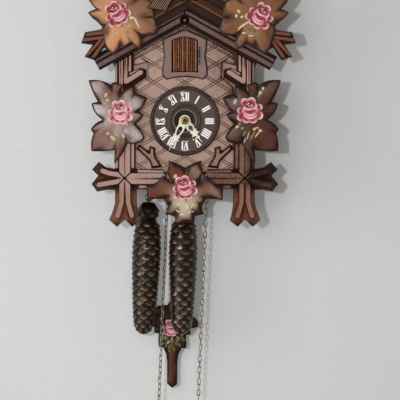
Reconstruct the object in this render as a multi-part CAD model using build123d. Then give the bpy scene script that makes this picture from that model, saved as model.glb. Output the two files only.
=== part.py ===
from build123d import *
import math
import os

# A weight-driven cuckoo clock: a gabled wooden case with a carved front, a chain-driven
# movement, a cuckoo behind a hinged door, two cone weights and a leaf pendulum.
# Axes: X to the right seen from the front, Y into the wall, Z up. The origin is the centre of
# the hanger hole, on the wall plane. Lengths are in millimetres, angles in degrees.

os.makedirs("parts", exist_ok=True)

# ---------------------------------------------------------------- driving dimensions
# Dial and hands
dial_drop = 68.0            # hanger hole down to the dial's centre
dial_radius = 31.9
dial_thickness = 3.5
dial_rim_width = 3.2
dial_rim_height = 1.2
numeral_ring_radius = 23.0
numeral_height = 8.6
numeral_stroke = 1.35
numeral_relief = 0.5
minute_hand_length = 30.0
hour_hand_length = 25.0
hand_thickness = 0.8
hand_gap = 1.2
pipe_radius = 2.4           # the hour hand's pipe
running_hole = 4.2          # the pipe passes through the dial and the front here
minute_angle = 208.0        # clockwise from twelve
hour_angle = 141.0

# Case
case_width = 120.0
case_depth = 82.0
case_wall = 8.0
case_floor = 6.0
floor_drop = 62.5           # dial centre down to the underside of the case
roof_rise = 89.0            # dial centre up to the roof's underside at the ridge
roof_pitch = 29.0
roof_thickness = 5.0
roof_half_span = 84.5       # ridge to the bargeboards' ends, measured level
roof_board_reach = 66.0     # the boards behind them end just outside the case
roof_overhang = 20.0        # roof in front of the case
back_door_thickness = 3.0
back_door_inset = 2.0

# Layers of the front, from the case outwards
board_thickness = 7.0
plate_thickness = 5.0
carving_thickness = 7.0
leaf_thickness = 5.0
rose_thickness = 3.4
barge_thickness = 5.0
barge_width = 14.0
crown_thickness = 6.0
board_side_lap = 4.0        # front board beyond each side of the case
plate_half_width = 45.5

# Doorway and cuckoo
door_width = 23.5
door_height = 32.0
door_arch = 3.4
door_sill = 45.3            # dial centre up to the doorway's sill
door_thickness = 1.8
door_gap = 0.5
frame_gap = 0.9             # the frame stands back from the door's edge
hinge_wire_radius = 0.55
hinge_reach = 1.7           # door's edge out to the hinge wire
hinge_height = 1.5          # the wire in front of the frame
frame_relief = 1.6
cuckoo_start_gap = 4.0      # beak behind the closed door

# Carvings, about the dial's centre
cross_centre = (55.0, -52.6)
crown_x = 3.5               # the crown's middle
rose_radius = 10.6
rose_places = {"left": (-61.0, 7.6, 0), "right": (59.0, 9.0, 0), "bottom": (0.8, -61.5, 0),
               "crown_left": (-63.5, 98.0, 1), "crown_right": (71.0, 96.8, 1)}

# Hanger
hanger_hole_radius = 4.5
hanger_plate_thickness = 2.0
hanger_plate_width = 28.0
hanger_plate_height = 18.0
hanger_rail_drop = 14.0     # hanger hole down to the foot of the rail
hanger_rail_thickness = 10.0

# Movement
movement_x = -4.0           # its middle, beside the dial's centre
movement_width = 80.0
movement_height = 90.0
movement_plate = 1.4
movement_gap = 30.0         # between the two plates
movement_setback = 5.0      # front plate behind the front board
pillar_radius = 2.6
pillar_inset = 4.0
sight_hole = (-24.0, 24.0, 8.0)     # place and radius of the plates' round window
arbor_radius = 1.5
running_clearance = 0.06    # radial, every shaft in its hole

# Chains and weights
plumb_lean = 2.4            # the clock hangs this much off plumb
chain_diameter = 3.1
chain_pitch_radius = 9.8
wheel_drop = 17.5           # dial centre down to the chain wheels' arbors
time_wheel_x = -22.4
strike_wheel_x = 11.2
cone_length = 125.0
cone_radius = 13.8
weight_hang = 57.0          # wheel arbor down to the top of a cone
cone_leans = {"time": 2.2, "strike": 1.1}
chain_reach = 256.0         # wheel arbor down to the top of the stored hank
hank_length = 60.0
hank_width = 18.5
hank_depth = 17.5
ring_radius = 8.0
ring_wire_radius = 1.2

# Pendulum
pendulum_length = 283.5
pendulum_swing = 5.0
pendulum_lean = 2.8         # caught a little past plumb
pivot_rise = 30.0           # above the dial's centre
pivot_x = 1.0
escape_drop = 14.0          # anchor's arbor down to the escape wheel's
escape_radius = 9.5
gong_wire_radius = 0.9
gong_start = 6.0            # radius of the coil's first half turn
gong_growth = 2.4
gong_drop = 10.0            # dial's centre down to the coil's
gong_depth = 15.0
hammer_place = (26.0, 32.0)
hammer_radius = 2.8
whistle_width = 13.0
whistle_back = 12.0
whistle_front = 34.0
whistle_low = -34.0
whistle_high = 28.0
rod_radius = 1.0
bob_stem_width = 10.0
bob_thickness = 5.0

# ---------------------------------------------------------------- derived places
dial_z = -dial_drop
front_case = case_depth
front_board = front_case + board_thickness
front_plate = front_board + plate_thickness
front_carving = front_plate + carving_thickness
front_leaf = front_carving + leaf_thickness
front_roof = case_depth + roof_overhang
front_barge = front_roof + barge_thickness
front_crown = front_barge + crown_thickness
board_half_width = case_width / 2 + board_side_lap
hinge_x = door_width / 2 + hinge_reach
hinge_depth = front_plate + frame_relief + hinge_height
movement_front = front_case - movement_setback
movement_back = movement_front - movement_gap - 2 * movement_plate
chain_front = (movement_front + movement_back) / 2
movement_top = door_sill - 3.3
pendulum_front = movement_back - 11.0
slope = math.tan(math.radians(roof_pitch))
parts = {}


# ---------------------------------------------------------------- helpers
def front(depth, x=0.0, z=0.0):
    """A plane parallel to the wall, depth in front of it, measured from the dial's centre."""
    return Plane(origin=(x, -depth, dial_z + z), x_dir=(1, 0, 0), z_dir=(0, -1, 0))


def slab(face, back, face_depth):
    """A face drawn about the dial's centre, as a board between two distances from the wall."""
    return extrude(front(back) * face, amount=face_depth - back, dir=(0, -1, 0))


def outline(points):
    """A closed face from (x, z, bulge): a bulge is an arc's height as a share of its chord."""
    edges = []
    for (x0, z0, bulge), (x1, z1, _) in zip(points, points[1:] + points[:1]):
        if bulge:
            middle = ((x0 + x1) / 2 + (z1 - z0) * bulge, (z0 + z1) / 2 - (x1 - x0) * bulge)
            edges.append(ThreePointArc((x0, z0), middle, (x1, z1)))
        else:
            edges.append(Line((x0, z0), (x1, z1)))
    return make_face(edges)


def mirrored(points):
    """The same outline on the other side of the clock, in the same sense of turning."""
    flipped = []
    for i, (x, z, _) in enumerate(points):
        flipped.append((-x, z, points[i - 1][2]))
    return flipped[::-1]


def at(depth, x, z):
    """A place in front of the wall, with its height from the dial's centre."""
    return Vector(x, -depth, dial_z + z)


def rod(start, end, radius):
    """A round bar between two places."""
    run = end - start
    return extrude(Plane(origin=start, z_dir=run) * Circle(radius), amount=run.length)


def box(x0, x1, depth0, depth1, z0, z1):
    """A block between two widths, two distances from the wall and two heights from the dial."""
    return Pos((x0 + x1) / 2, -(depth0 + depth1) / 2, dial_z + (z0 + z1) / 2) * Box(
        x1 - x0, depth1 - depth0, z1 - z0)


def chain_x(wheel_x, side, drop):
    """Where a strand hangs, drop below its wheel's arbor, on the clock's lean off plumb."""
    return wheel_x + side * chain_pitch_radius - drop * math.tan(math.radians(plumb_lean))


def roof_line(x, below=0.0):
    """Height of the roof's underside at x, less a distance measured square to it."""
    return roof_rise - abs(x) * slope - below / math.cos(math.radians(roof_pitch))


def keep(name, *solids):
    """Names a piece, or a group of like pieces, for its own file."""
    parts[name] = solids[0] if len(solids) == 1 else Compound(children=list(solids))


# ---------------------------------------------------------------- case
def build_case():
    half = case_width / 2
    for side, name in ((-1, "case_side_left"), (1, "case_side_right")):
        outer, inner = side * half, side * (half - case_wall)
        face = Polygon((outer, -floor_drop), (inner, -floor_drop), (inner, roof_line(inner)),
                       (outer, roof_line(outer)), align=None)
        keep(name, slab(face, 0, front_case))
    inside = half - case_wall
    floor = box(-inside, inside, back_door_inset + back_door_thickness + 0.4, front_case,
                -floor_drop, -floor_drop + case_floor)
    for wheel_x in (time_wheel_x, strike_wheel_x):
        for side in (-1, 1):
            x = chain_x(wheel_x, side, floor_drop - wheel_drop)
            floor -= box(x - 5, x + 5, chain_front - 4.5, chain_front + 4.5,
                         -floor_drop - 1, -floor_drop + case_floor + 1)
    sway = (pivot_rise + floor_drop) * math.tan(math.radians(pendulum_swing))
    x = pivot_x - (pivot_rise + floor_drop) * math.tan(math.radians(pendulum_lean))
    floor -= box(x - sway - 5, x + sway + 5, pendulum_front - 4, pendulum_front + 4,
                 -floor_drop - 1, -floor_drop + case_floor + 1)
    keep("case_bottom", floor)

    rail_low = dial_drop - hanger_rail_drop
    eave = roof_line(inside, 0.2)
    gable = Polygon((-inside, rail_low), (inside, rail_low), (inside, eave),
                    (0, roof_line(0, 0.2)), (-inside, eave), align=None)
    rail = slab(gable, 0, hanger_rail_thickness)
    rail -= box(-hanger_plate_width / 2, hanger_plate_width / 2, -1, hanger_plate_thickness,
                dial_drop - hanger_plate_height / 2, dial_drop + hanger_plate_height / 2)
    rail -= extrude(front(-1, 0, dial_drop) * Circle(hanger_hole_radius + 2.5),
                    amount=hanger_rail_thickness + 2)
    keep("hanger_rail", rail)
    plate = box(-hanger_plate_width / 2, hanger_plate_width / 2, 0, hanger_plate_thickness,
                dial_drop - hanger_plate_height / 2, dial_drop + hanger_plate_height / 2)
    plate -= extrude(front(-1, 0, dial_drop) * Circle(hanger_hole_radius),
                     amount=hanger_plate_thickness + 2)
    keep("hanger_plate", plate)
    keep("back_door", box(-inside + 0.3, inside - 0.3, back_door_inset,
                          back_door_inset + back_door_thickness, -floor_drop + 0.3, rail_low - 0.3))


def roof_half(side, back, face_depth, low, high, reach):
    """One side of the roof: a sloped board, low to high above the underside, out to reach."""
    turn = math.radians(roof_pitch)
    high_reach = reach + (high - low) * math.sin(turn)
    corners = [(0, roof_rise + low / math.cos(turn)),
               (side * reach, roof_rise + low / math.cos(turn) - reach * slope),
               (side * high_reach, roof_rise + high / math.cos(turn) - high_reach * slope),
               (0, roof_rise + high / math.cos(turn))]
    return slab(Polygon(*corners, align=None), back, face_depth)


def build_roof():
    notch_radius = 3.6
    reach = roof_half_span - barge_width * math.sin(math.radians(roof_pitch))
    for side, name in ((-1, "left"), (1, "right")):
        board = roof_half(side, 0, front_roof, 0, roof_thickness, roof_board_reach)
        keep("roof_board_" + name, board)
        trim = roof_half(side, front_roof, front_barge, 0, barge_width, reach)
        trim -= roof_half(side, front_barge - 1.2, front_barge + 1, 6.6, 7.6, reach + 20)
        trim -= roof_half(side, front_barge - 1.6, front_barge + 1, 10.8, barge_width + 1, reach + 20)
        trim -= extrude(front(front_roof - 1, 0, roof_rise + 2.2) * Circle(notch_radius),
                        amount=barge_thickness + 2)
        keep("bargeboard_" + name, trim)


# ---------------------------------------------------------------- front of the case
def doorway(grow):
    """The doorway's outline, a square opening with a shallow arch, wider by grow all round."""
    half = door_width / 2 + grow
    low, spring = door_sill - grow, door_sill + door_height - door_arch
    top = door_sill + door_height + grow
    return make_face([Line((-half, spring), (-half, low)), Line((-half, low), (half, low)),
                      Line((half, low), (half, spring)),
                      ThreePointArc((half, spring), (0, top), (-half, spring))])


def plate_outline():
    """Right half of the scored plate, from the ridge down to the middle of its foot."""
    shoulder = roof_line(46.5, 1.2)
    right = [(0, roof_line(0, 1.2), 0), (46.5, shoulder, 0), (46.5, 51.0, 0), (35.0, 54.5, 0),
             (33.5, 41.0, 0), (44.5, 31.5, 0), (plate_half_width, 24.0, 0),
             (plate_half_width, -floor_drop, 0)]
    left = [(-x, z, 0) for x, z, _ in right[:0:-1]]
    return outline(right + left)


def build_front():
    edge = roof_line(board_half_width, 0.2)
    face = Polygon((-board_half_width, -floor_drop), (board_half_width, -floor_drop),
                   (board_half_width, edge), (0, roof_line(0, 0.2)), (-board_half_width, edge),
                   align=None)
    shaft_hole = Circle(running_hole)
    board = slab(face - doorway(door_gap) - shaft_hole, front_case, front_board)
    for side in (-1, 1):
        for x, width in ((61.2, 1.4), (56.2, 1.6), (51.4, 1.4)):
            board -= box(side * x - width / 2, side * x + width / 2, front_board - 1.8,
                         front_board + 1, 30.0, 60.0)
    keep("front_board", board)
    plate = slab(plate_outline() - doorway(door_gap) - shaft_hole, front_board, front_plate)
    keep("front_plate", plate)

    shield = outline([(0, 84.3, 0), (-20.5, 75.6, 0.03), (-18.9, 59.0, 0.04), (-21.0, 42.0, 0),
                      (-17.0, 37.8, -0.04), (0, 40.2, -0.04), (17.0, 37.8, 0), (21.0, 42.0, 0.04),
                      (18.9, 59.0, 0.03), (20.5, 75.6, 0)])
    keep("door_frame", slab(shield - doorway(frame_gap), front_plate, front_plate + frame_relief))

    brackets = []
    for side in (-1, 1):
        face = Polygon((side * 35.5, 40.5), (side * 35.5, 47.5), (side * 41.5, 49.0),
                       (side * 54.5, 41.5), (side * 54.5, 33.5), (side * 46.8, 32.8), align=None)
        brackets.append(slab(face - plate_outline(), front_board, front_plate + 2.0))
    keep("frame_brackets", *brackets)


# ---------------------------------------------------------------- carved crosses and leaves
def cross_outline():
    """The right cross: a stem, two forked feet, a forked outer arm and a plain inner arm."""
    x, z = cross_centre
    return [(x + 9.0, z + 8.5, 0), (x + 17.5, z + 10.0, 0), (x + 24.0, z + 15.0, 0),
            (x + 30.3, z + 8.0, 0), (x + 24.6, z + 2.2, 0), (x + 30.8, z - 5.4, 0),
            (x + 25.6, z - 12.4, 0), (x + 16.0, z - 10.6, 0), (x + 9.0, z - 11.0, 0),
            (x + 9.2, z - 22.0, 0.03), (x + 14.6, z - 38.4, 0), (x + 7.4, z - 44.8, 0),
            (x + 0.2, z - 37.8, 0), (x - 6.4, z - 44.8, 0), (x - 13.6, z - 39.2, 0.03),
            (x - 10.6, z - 22.0, 0), (x - 10.6, z - 9.6, 0), (x - 33.0, z - 9.6, 0),
            (x - 38.0, z - 2.0, 0), (x - 38.0, z + 5.5, 0), (x - 33.5, z + 8.2, 0),
            (x - 9.2, z + 8.2, 0), (x - 9.2, z + 62.0, 0), (x + 9.0, z + 62.0, 0)]


def twig_outline():
    """A forked twig that leans from the inner arm up to the dial."""
    return [(20.5, -42.5, 0), (26.5, -33.0, 0.04), (27.0, -24.6, 0), (32.2, -23.0, 0),
            (33.6, -27.6, 0), (41.5, -21.8, 0), (44.8, -25.4, 0), (33.2, -36.5, 0.04),
            (30.6, -43.8, 0)]


def leaf_outline():
    """A side leaf of the right side, with nine pointed lobes."""
    return [(88.0, 36.6, 0.10), (68.0, 32.8, 0), (64.6, 35.3, 0), (57.0, 32.4, 0.04),
            (59.0, 25.5, 0), (50.0, 31.3, 0), (45.6, 31.6, 0), (45.6, 24.6, 0.06),
            (34.6, 20.2, 0.06), (42.4, 8.4, 0), (38.2, 5.2, 0.10), (45.4, -2.8, 0.04),
            (36.8, -15.4, 0), (39.0, -19.2, 0.10), (52.5, -20.8, 0.06), (64.0, -35.6, 0),
            (64.0, -27.0, 0.03), (85.2, -28.0, 0.08), (83.4, -11.8, 0), (86.0, -8.2, 0.10),
            (75.4, 0.4, 0), (80.2, 4.8, 0.08), (85.2, 15.6, 0), (79.6, 17.2, 0.03)]


def bottom_leaf_outline():
    """Right half of the leaf under the dial: a top tip, a broad side lobe and the foot."""
    right = [(0, -43.4, -0.04), (15.4, -36.6, 0.14), (17.0, -47.0, 0.05), (14.0, -54.6, 0),
             (20.4, -49.9, 0.14), (35.2, -59.6, 0), (34.6, -73.0, 0.03), (19.6, -71.8, 0),
             (15.8, -78.0, 0.05), (17.4, -85.6, 0), (9.4, -87.6, 0), (8.6, -94.6, 0.06)]
    left = [(-x, z, right[i - 1][2] if i else 0) for i, (x, z, _) in enumerate(right)][:0:-1]
    left[0] = (left[0][0], left[0][1], right[-2][2])
    return right + left


def build_carvings():
    twigs = []
    for side, name in ((-1, "left"), (1, "right")):
        points = cross_outline() if side > 0 else mirrored(cross_outline())
        cross = slab(outline(points), front_board, front_carving)
        cross -= slab(plate_outline(), front_board, front_plate)
        x, z = side * cross_centre[0], cross_centre[1]
        cross -= box(x - 0.7, x + 0.7, front_carving - 1.6, front_carving + 1, z - 36, z + 34)
        cross -= box(x - 27, x + 27, front_carving - 1.6, front_carving + 1, z - 0.7, z + 0.7)
        twig = twig_outline() if side > 0 else mirrored(twig_outline())
        twig_board = slab(outline(twig), front_plate, front_carving - 1.0)
        keep("cross_" + name, cross)
        twigs.append(twig_board - slab(outline(points), front_board, front_carving))
        leaf = leaf_outline() if side > 0 else mirrored(leaf_outline())
        keep("leaf_" + name, slab(outline(leaf), front_carving, front_leaf))
    keep("twigs", *twigs)
    keep("leaf_bottom", slab(outline(bottom_leaf_outline()), front_carving, front_leaf))


# ---------------------------------------------------------------- crown, bird and roses
def crown_leaf_outline():
    """Right crown leaf, from its inner curl round by the lowest tip to its upper points."""
    return [(27.5, 84.0, 0.16), (31.5, 76.5, 0), (44.0, 77.0, 0), (41.8, 71.5, 0.08),
            (45.0, 64.0, 0.05), (52.0, 70.0, 0), (58.0, 65.5, 0), (61.5, 64.8, 0.04),
            (69.0, 59.2, 0.05), (74.5, 66.0, 0.04), (78.5, 84.5, 0), (84.0, 90.0, 0.08),
            (91.0, 97.5, 0), (84.0, 100.5, 0.06), (92.0, 112.0, 0.10), (90.0, 136.0, 0.06),
            (76.0, 126.0, 0), (70.0, 142.0, 0.08), (60.0, 124.0, 0), (47.0, 132.0, 0.08),
            (44.0, 112.0, 0), (33.0, 108.0, 0.04), (31.0, 93.0, -0.03)]


def branch_outline():
    """Right end of the crown's branch: a fork of two cut stubs."""
    return [(70.0, 62.0, 0), (77.0, 66.0, 0), (85.0, 54.2, 0), (94.5, 57.6, 0),
            (87.0, 68.5, 0), (97.6, 69.9, 0), (94.2, 80.0, 0), (80.0, 82.4, 0),
            (74.0, 88.0, 0), (66.0, 78.0, 0)]


def build_crown():
    branches = []
    for side, name in ((-1, "left"), (1, "right")):
        points = crown_leaf_outline() if side > 0 else mirrored(crown_leaf_outline())
        points = [(x + crown_x, z, b) for x, z, b in points]
        keep("crown_leaf_" + name, slab(outline(points), front_crown, front_crown + leaf_thickness))
        stub = branch_outline() if side > 0 else mirrored(branch_outline())
        branches.append([(x + crown_x, z, b) for x, z, b in stub])
    ridge = roof_rise + barge_width / math.cos(math.radians(roof_pitch))
    arch = [(1.5, ridge + 4.0, 0), (31.5, ridge - 14.5, 0), (48.0, ridge - 24.0, 0),
            (72.0, 70.0, 0), (72.0, 86.0, 0), (48.0, ridge - 4.0, 0), (24.0, ridge + 8.0, 0),
            (12.0, ridge + 22.0, 0)]
    left = [(-x, z, 0) for x, z, _ in arch[::-1]]
    face = outline([(x + crown_x, z, b) for x, z, b in arch + left])
    board = slab(face, front_barge, front_crown)
    for points in branches:
        board += slab(outline(points), front_barge, front_crown)
    keep("crown_board", board)


def build_bird():
    """The carved bird on the ridge: a lofted body, a fanned tail and two raised wings."""
    base = front_crown
    body = Pos(*at(base + 8.0, crown_x + 3.0, 124.0)) * Rot(0, 38, 0) * egg(7.5, 8.0, 17.0)
    head = Pos(*at(base + 9.0, crown_x + 15.0, 141.0)) * Sphere(6.2)
    beak = Pos(*at(base + 9.0, crown_x + 22.5, 142.0)) * Rot(0, 90, 0) * Cone(2.4, 0.5, 7.0)
    keep("crown_bird", body + head + beak)
    tail = outline([(-5.6, 118.0, 0), (-10.5, 110.0, 0), (-16.2, 97.2, 0.10), (-34.0, 100.4, 0),
                    (-24.0, 116.0, 0), (-15.0, 126.0, 0)])
    wings = []
    for points in ([(8.0, 122.0, 0), (26.0, 128.0, 0), (44.0, 146.0, 0.06), (30.0, 150.0, 0),
                    (14.0, 140.0, 0)],
                   [(4.0, 122.0, 0), (-12.0, 132.0, 0), (-26.0, 150.0, 0.06), (-10.0, 154.0, 0),
                    (4.0, 144.0, 0), (11.0, 131.0, 0)]):
        wings.append(slab(outline(points), base, base + 4.0))
    tail_board = slab(tail, base + leaf_thickness + 0.2, base + leaf_thickness + 4.2)
    bird = parts["crown_bird"]
    keep("bird_tail", tail_board - bird)
    keep("bird_wings", *[wing - bird for wing in wings])


def egg(x, y, z):
    """An egg-shaped solid with three half-lengths, from a stack of ellipses lofted along Z."""
    rings = []
    for i in range(9):
        turn = math.radians(12 + 19.5 * i)
        rings.append(Pos(0, 0, -z * math.cos(turn)) * Ellipse(x * math.sin(turn),
                                                              y * math.sin(turn)))
    return loft(rings)


def rose(depth, x, z):
    """A carved rose: a ring of round outer petals about a domed heart."""
    solid = extrude(front(depth, x, z) * Circle(rose_radius * 0.66), amount=rose_thickness)
    for i in range(6):
        turn = math.radians(60 * i + 30)
        petal = Circle(rose_radius * 0.36)
        solid += extrude(front(depth, x + rose_radius * 0.64 * math.cos(turn),
                               z + rose_radius * 0.64 * math.sin(turn)) * petal,
                         amount=rose_thickness * 0.6)
    return solid


def build_roses():
    roses = []
    for x, z, on_crown in rose_places.values():
        roses.append(rose(front_crown + leaf_thickness if on_crown else front_leaf, x, z))
    keep("roses", *roses)


# ---------------------------------------------------------------- dial, hands and door
def build_dial():
    disc = slab(Circle(dial_radius) - Circle(running_hole), front_plate,
                front_plate + dial_thickness)
    rim_front = front_plate + dial_thickness + dial_rim_height
    disc += slab(Circle(dial_radius) - Circle(dial_radius - dial_rim_width),
                 front_plate + dial_thickness, rim_front)
    keep("dial", disc)
    strokes = []
    face = front_plate + dial_thickness
    for hour, text in enumerate(("XII", "I", "II", "III", "IIII", "V", "VI", "VII", "VIII", "IX",
                                 "X", "XI")):
        width = numeral_stroke * 2.1 * len(text)
        for i, letter in enumerate(text):
            x = -width / 2 + (i + 0.5) * width / len(text)
            for lean, shift in {"I": [(0, 0)], "V": [(12, -0.8), (-12, 0.8)],
                                "X": [(20, 0), (-20, 0)]}[letter]:
                bar = Pos(x + shift, numeral_ring_radius) * Rot(0, 0, lean) * Rectangle(
                    numeral_stroke, numeral_height)
                strokes.append(Rot(0, 0, -30 * hour) * bar)
    numerals = []
    for stroke in strokes:
        bar = slab(stroke, face, face + numeral_relief)
        numerals.append(bar)
    solid = numerals[0]
    for bar in numerals[1:]:
        solid += bar
    keep("dial_numerals", solid)


def hand_outline(length):
    """A cuckoo-clock hand that points up: a round eye, a slim neck and a leaf-shaped blade."""
    blade = length * 0.46
    return outline([(-1.1, 2.8, 0), (-0.9, length - blade, 0), (-3.4, length - blade * 0.62, 0),
                    (-1.2, length - blade * 0.40, 0), (0, length, 0),
                    (1.2, length - blade * 0.40, 0), (3.4, length - blade * 0.62, 0),
                    (0.9, length - blade, 0), (1.1, 2.8, 0)])


def hand(length, angle, depth, bore):
    """A hand at its place in front of the dial, with a round eye of the given bore."""
    face = hand_outline(length) + Circle(4.2) - Circle(bore)
    return slab(Rot(0, 0, -angle) * face, depth, depth + hand_thickness)


def build_hands():
    hour_depth = front_plate + dial_thickness + numeral_relief + hand_gap
    minute_depth = hour_depth + hand_thickness + hand_gap
    pipe_bore = arbor_radius + running_clearance
    pipe = slab(Circle(pipe_radius) - Circle(pipe_bore), movement_front + 0.6, hour_depth)
    keep("hour_hand", hand(hour_hand_length, hour_angle, hour_depth, pipe_bore), pipe)
    keep("minute_hand", hand(minute_hand_length, minute_angle, minute_depth, arbor_radius))
    tip = minute_depth + hand_thickness
    nut = slab(RegularPolygon(2.6, 6), tip, tip + 1.8)
    keep("hand_nut", nut - slab(Circle(arbor_radius), tip, tip + 0.9))
    keep("centre_arbor", slab(Circle(arbor_radius), movement_back - 1.0, tip + 0.9))


def build_door():
    middle = front_plate - door_thickness
    leaf = slab(doorway(0), middle, front_plate)
    ribs = 7
    pitch = (door_width - 2.5) / ribs
    for i in range(ribs + 1):
        x = (i - ribs / 2) * pitch
        leaf -= slab(Pos(x, door_sill + door_height / 2) * Rectangle(0.9, door_height - 2.0),
                     front_plate - 0.6, front_plate + 1)
    low, high = door_sill + 6.5, door_sill + door_height - 9.5
    for z in (low + 3.0, high - 3.0):
        eye = Pos(*at(hinge_depth, hinge_x, z)) * (Cylinder(2 * hinge_wire_radius, 1.6)
                                                   - Cylinder(hinge_wire_radius + 0.05, 3))
        arm = box(door_width / 2 - 2.0, hinge_x - 1.4 * hinge_wire_radius, hinge_depth - 0.5,
                  hinge_depth + 0.5, z - 0.8, z + 0.8)
        leg = box(door_width / 2 - 2.0, door_width / 2 - 1.0, front_plate - 1.0,
                  hinge_depth + 0.5, z - 0.8, z + 0.8)
        leaf += eye + (arm - Pos(*at(hinge_depth, hinge_x, z))
                       * Cylinder(hinge_wire_radius + 0.05, 3)) + leg
    keep("cuckoo_door", leaf)
    foot = front_plate + frame_relief
    wire = rod(at(hinge_depth, hinge_x, low), at(hinge_depth, hinge_x, high), hinge_wire_radius)
    for z in (low, high):
        wire += rod(at(foot, hinge_x, z), at(hinge_depth + hinge_wire_radius, hinge_x, z),
                    hinge_wire_radius)
    keep("door_hinge", wire)


# ---------------------------------------------------------------- movement
def wheel_bearings():
    """Every arbor of the movement: its place from the dial's centre and its radius."""
    return {"centre": (0, 0), "escape": (pivot_x, pivot_rise - escape_drop),
            "anchor": (pivot_x, pivot_rise), "hammer": hammer_place,
            "time": (time_wheel_x, -wheel_drop), "strike": (strike_wheel_x, -wheel_drop)}


def build_movement():
    middle_z = movement_top - movement_height / 2
    for name, depth in (("movement_front_plate", movement_front - movement_plate),
                        ("movement_back_plate", movement_back)):
        face = Pos(movement_x, middle_z) * Rectangle(movement_width, movement_height)
        for x, z in wheel_bearings().values():
            face -= Pos(x, z) * Circle(arbor_radius + running_clearance)
        face -= Pos(sight_hole[0], sight_hole[1]) * Circle(sight_hole[2])
        keep(name, slab(face, depth, depth + movement_plate))
    pillars = []
    for side_x in (-1, 1):
        for side_z in (-1, 1):
            x = movement_x + side_x * (movement_width / 2 - pillar_inset)
            z = middle_z + side_z * (movement_height / 2 - pillar_inset)
            pillars.append(slab(Pos(x, z) * Circle(pillar_radius), movement_back + movement_plate,
                                movement_front - movement_plate))
    keep("movement_pillars", *pillars)
    for name, x in (("time", time_wheel_x), ("strike", strike_wheel_x)):
        place = Pos(x, -wheel_drop)
        root = chain_pitch_radius - chain_diameter / 2 - 0.35
        rim = chain_pitch_radius + 2.6
        wheel = slab(place * Circle(arbor_radius), movement_back - 0.8, movement_front + 0.8)
        wheel += slab(place * Circle(root), chain_front - 5.0, chain_front + 5.0)
        for near, far in ((-5.0, -2.2), (2.2, 5.0)):
            wheel += slab(place * Circle(rim), chain_front + near, chain_front + far)
        keep(f"chain_wheel_{name}", wheel)


def build_escapement():
    x, wheel_z = pivot_x, pivot_rise - escape_drop
    teeth = 24
    points = []
    for i in range(teeth):
        for share, radius in ((0.0, escape_radius), (0.35, escape_radius - 2.0),
                              (0.9, escape_radius - 2.4)):
            turn = 2 * math.pi * (i + share) / teeth
            points.append((x + radius * math.cos(turn), wheel_z + radius * math.sin(turn)))
    depth = movement_back + 8.0
    wheel = slab(Polygon(*points, align=None), depth, depth + 1.2)
    wheel -= slab(Pos(x, wheel_z) * Circle(escape_radius - 4.5), depth - 1, depth + 3)
    for i in range(2):
        spoke = Pos(x, wheel_z) * Rot(0, 0, 90 * i) * Rectangle(2 * escape_radius - 8.0, 1.6)
        wheel += slab(spoke, depth, depth + 1.2)
    wheel += slab(Pos(x, wheel_z) * Circle(arbor_radius), movement_back - 0.8,
                  movement_front + 0.8)
    keep("escape_wheel", wheel)
    anchor = outline([(x - 3.0, pivot_rise - 1.0, 0), (x - 9.6, pivot_rise - 4.0, 0),
                      (x - 9.2, pivot_rise - 8.0, 0), (x - 7.8, pivot_rise - 5.8, 0),
                      (x, pivot_rise - 3.0, 0), (x + 7.8, pivot_rise - 5.8, 0),
                      (x + 9.2, pivot_rise - 8.0, 0), (x + 9.6, pivot_rise - 4.0, 0),
                      (x + 3.0, pivot_rise - 1.0, 0), (x, pivot_rise + 3.0, 0)])
    fork = slab(anchor, depth, depth + 1.2)
    fork += slab(Pos(x, pivot_rise) * Circle(arbor_radius), pendulum_front - rod_radius,
                 movement_front + 0.8)
    lean = math.tan(math.radians(pendulum_lean))
    fork += rod(at(movement_back - 4, x, pivot_rise), at(movement_back - 4, x - 30 * lean,
                                                         pivot_rise - 30), 0.8)
    fork += rod(at(movement_back - 3.2, x - 30 * lean, pivot_rise - 30),
                at(pendulum_front + rod_radius + 0.1, x - 30 * lean, pivot_rise - 30), 0.8)
    keep("anchor", fork)


def build_pendulum():
    """A wire rod from the anchor's arbor, and a leaf-shaped bob with a long stem below it."""
    half = [(0, 0), (4.8, 3.8), (5.0, 25.0), (5.8, 32.0), (8.8, 38.5), (12.6, 38.8), (13.0, 45.0),
            (12.4, 51.5), (16.4, 52.2), (16.6, 58.0), (21.8, 59.5), (22.2, 65.0), (15.5, 71.8),
            (10.5, 71.0), (12.0, 78.0), (6.0, 80.0), (0, 87.0)]
    points = half + [(-x, z) for x, z in half[-2:0:-1]]
    hang = Pos(*at(pendulum_front, pivot_x, pivot_rise)) * Rot(0, pendulum_lean, 0)
    sheet = Plane(origin=(0, bob_thickness / 2, -pendulum_length), x_dir=(1, 0, 0),
                  z_dir=(0, -1, 0)) * Polygon(*points, align=None)
    bob = extrude(sheet, amount=bob_thickness)
    top = half[-1][1] - 12.0
    bob -= Pos(0, 0, -pendulum_length + top + 20) * Cylinder(rod_radius, 40)
    keep("pendulum_bob", hang * bob)
    reach = pendulum_length - top
    wire = Pos(0, 0, -(reach + arbor_radius) / 2) * Cylinder(rod_radius, reach - arbor_radius)
    keep("pendulum_rod", hang * wire)
    bloom = extrude(Plane(origin=(0, -bob_thickness / 2, 0), x_dir=(1, 0, 0), z_dir=(0, -1, 0))
                    * Pos(-4.0, -pendulum_length + 59.0) * Circle(rose_radius * 0.8),
                    amount=rose_thickness - 1)
    keep("rose_bob", hang * bloom)


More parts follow.
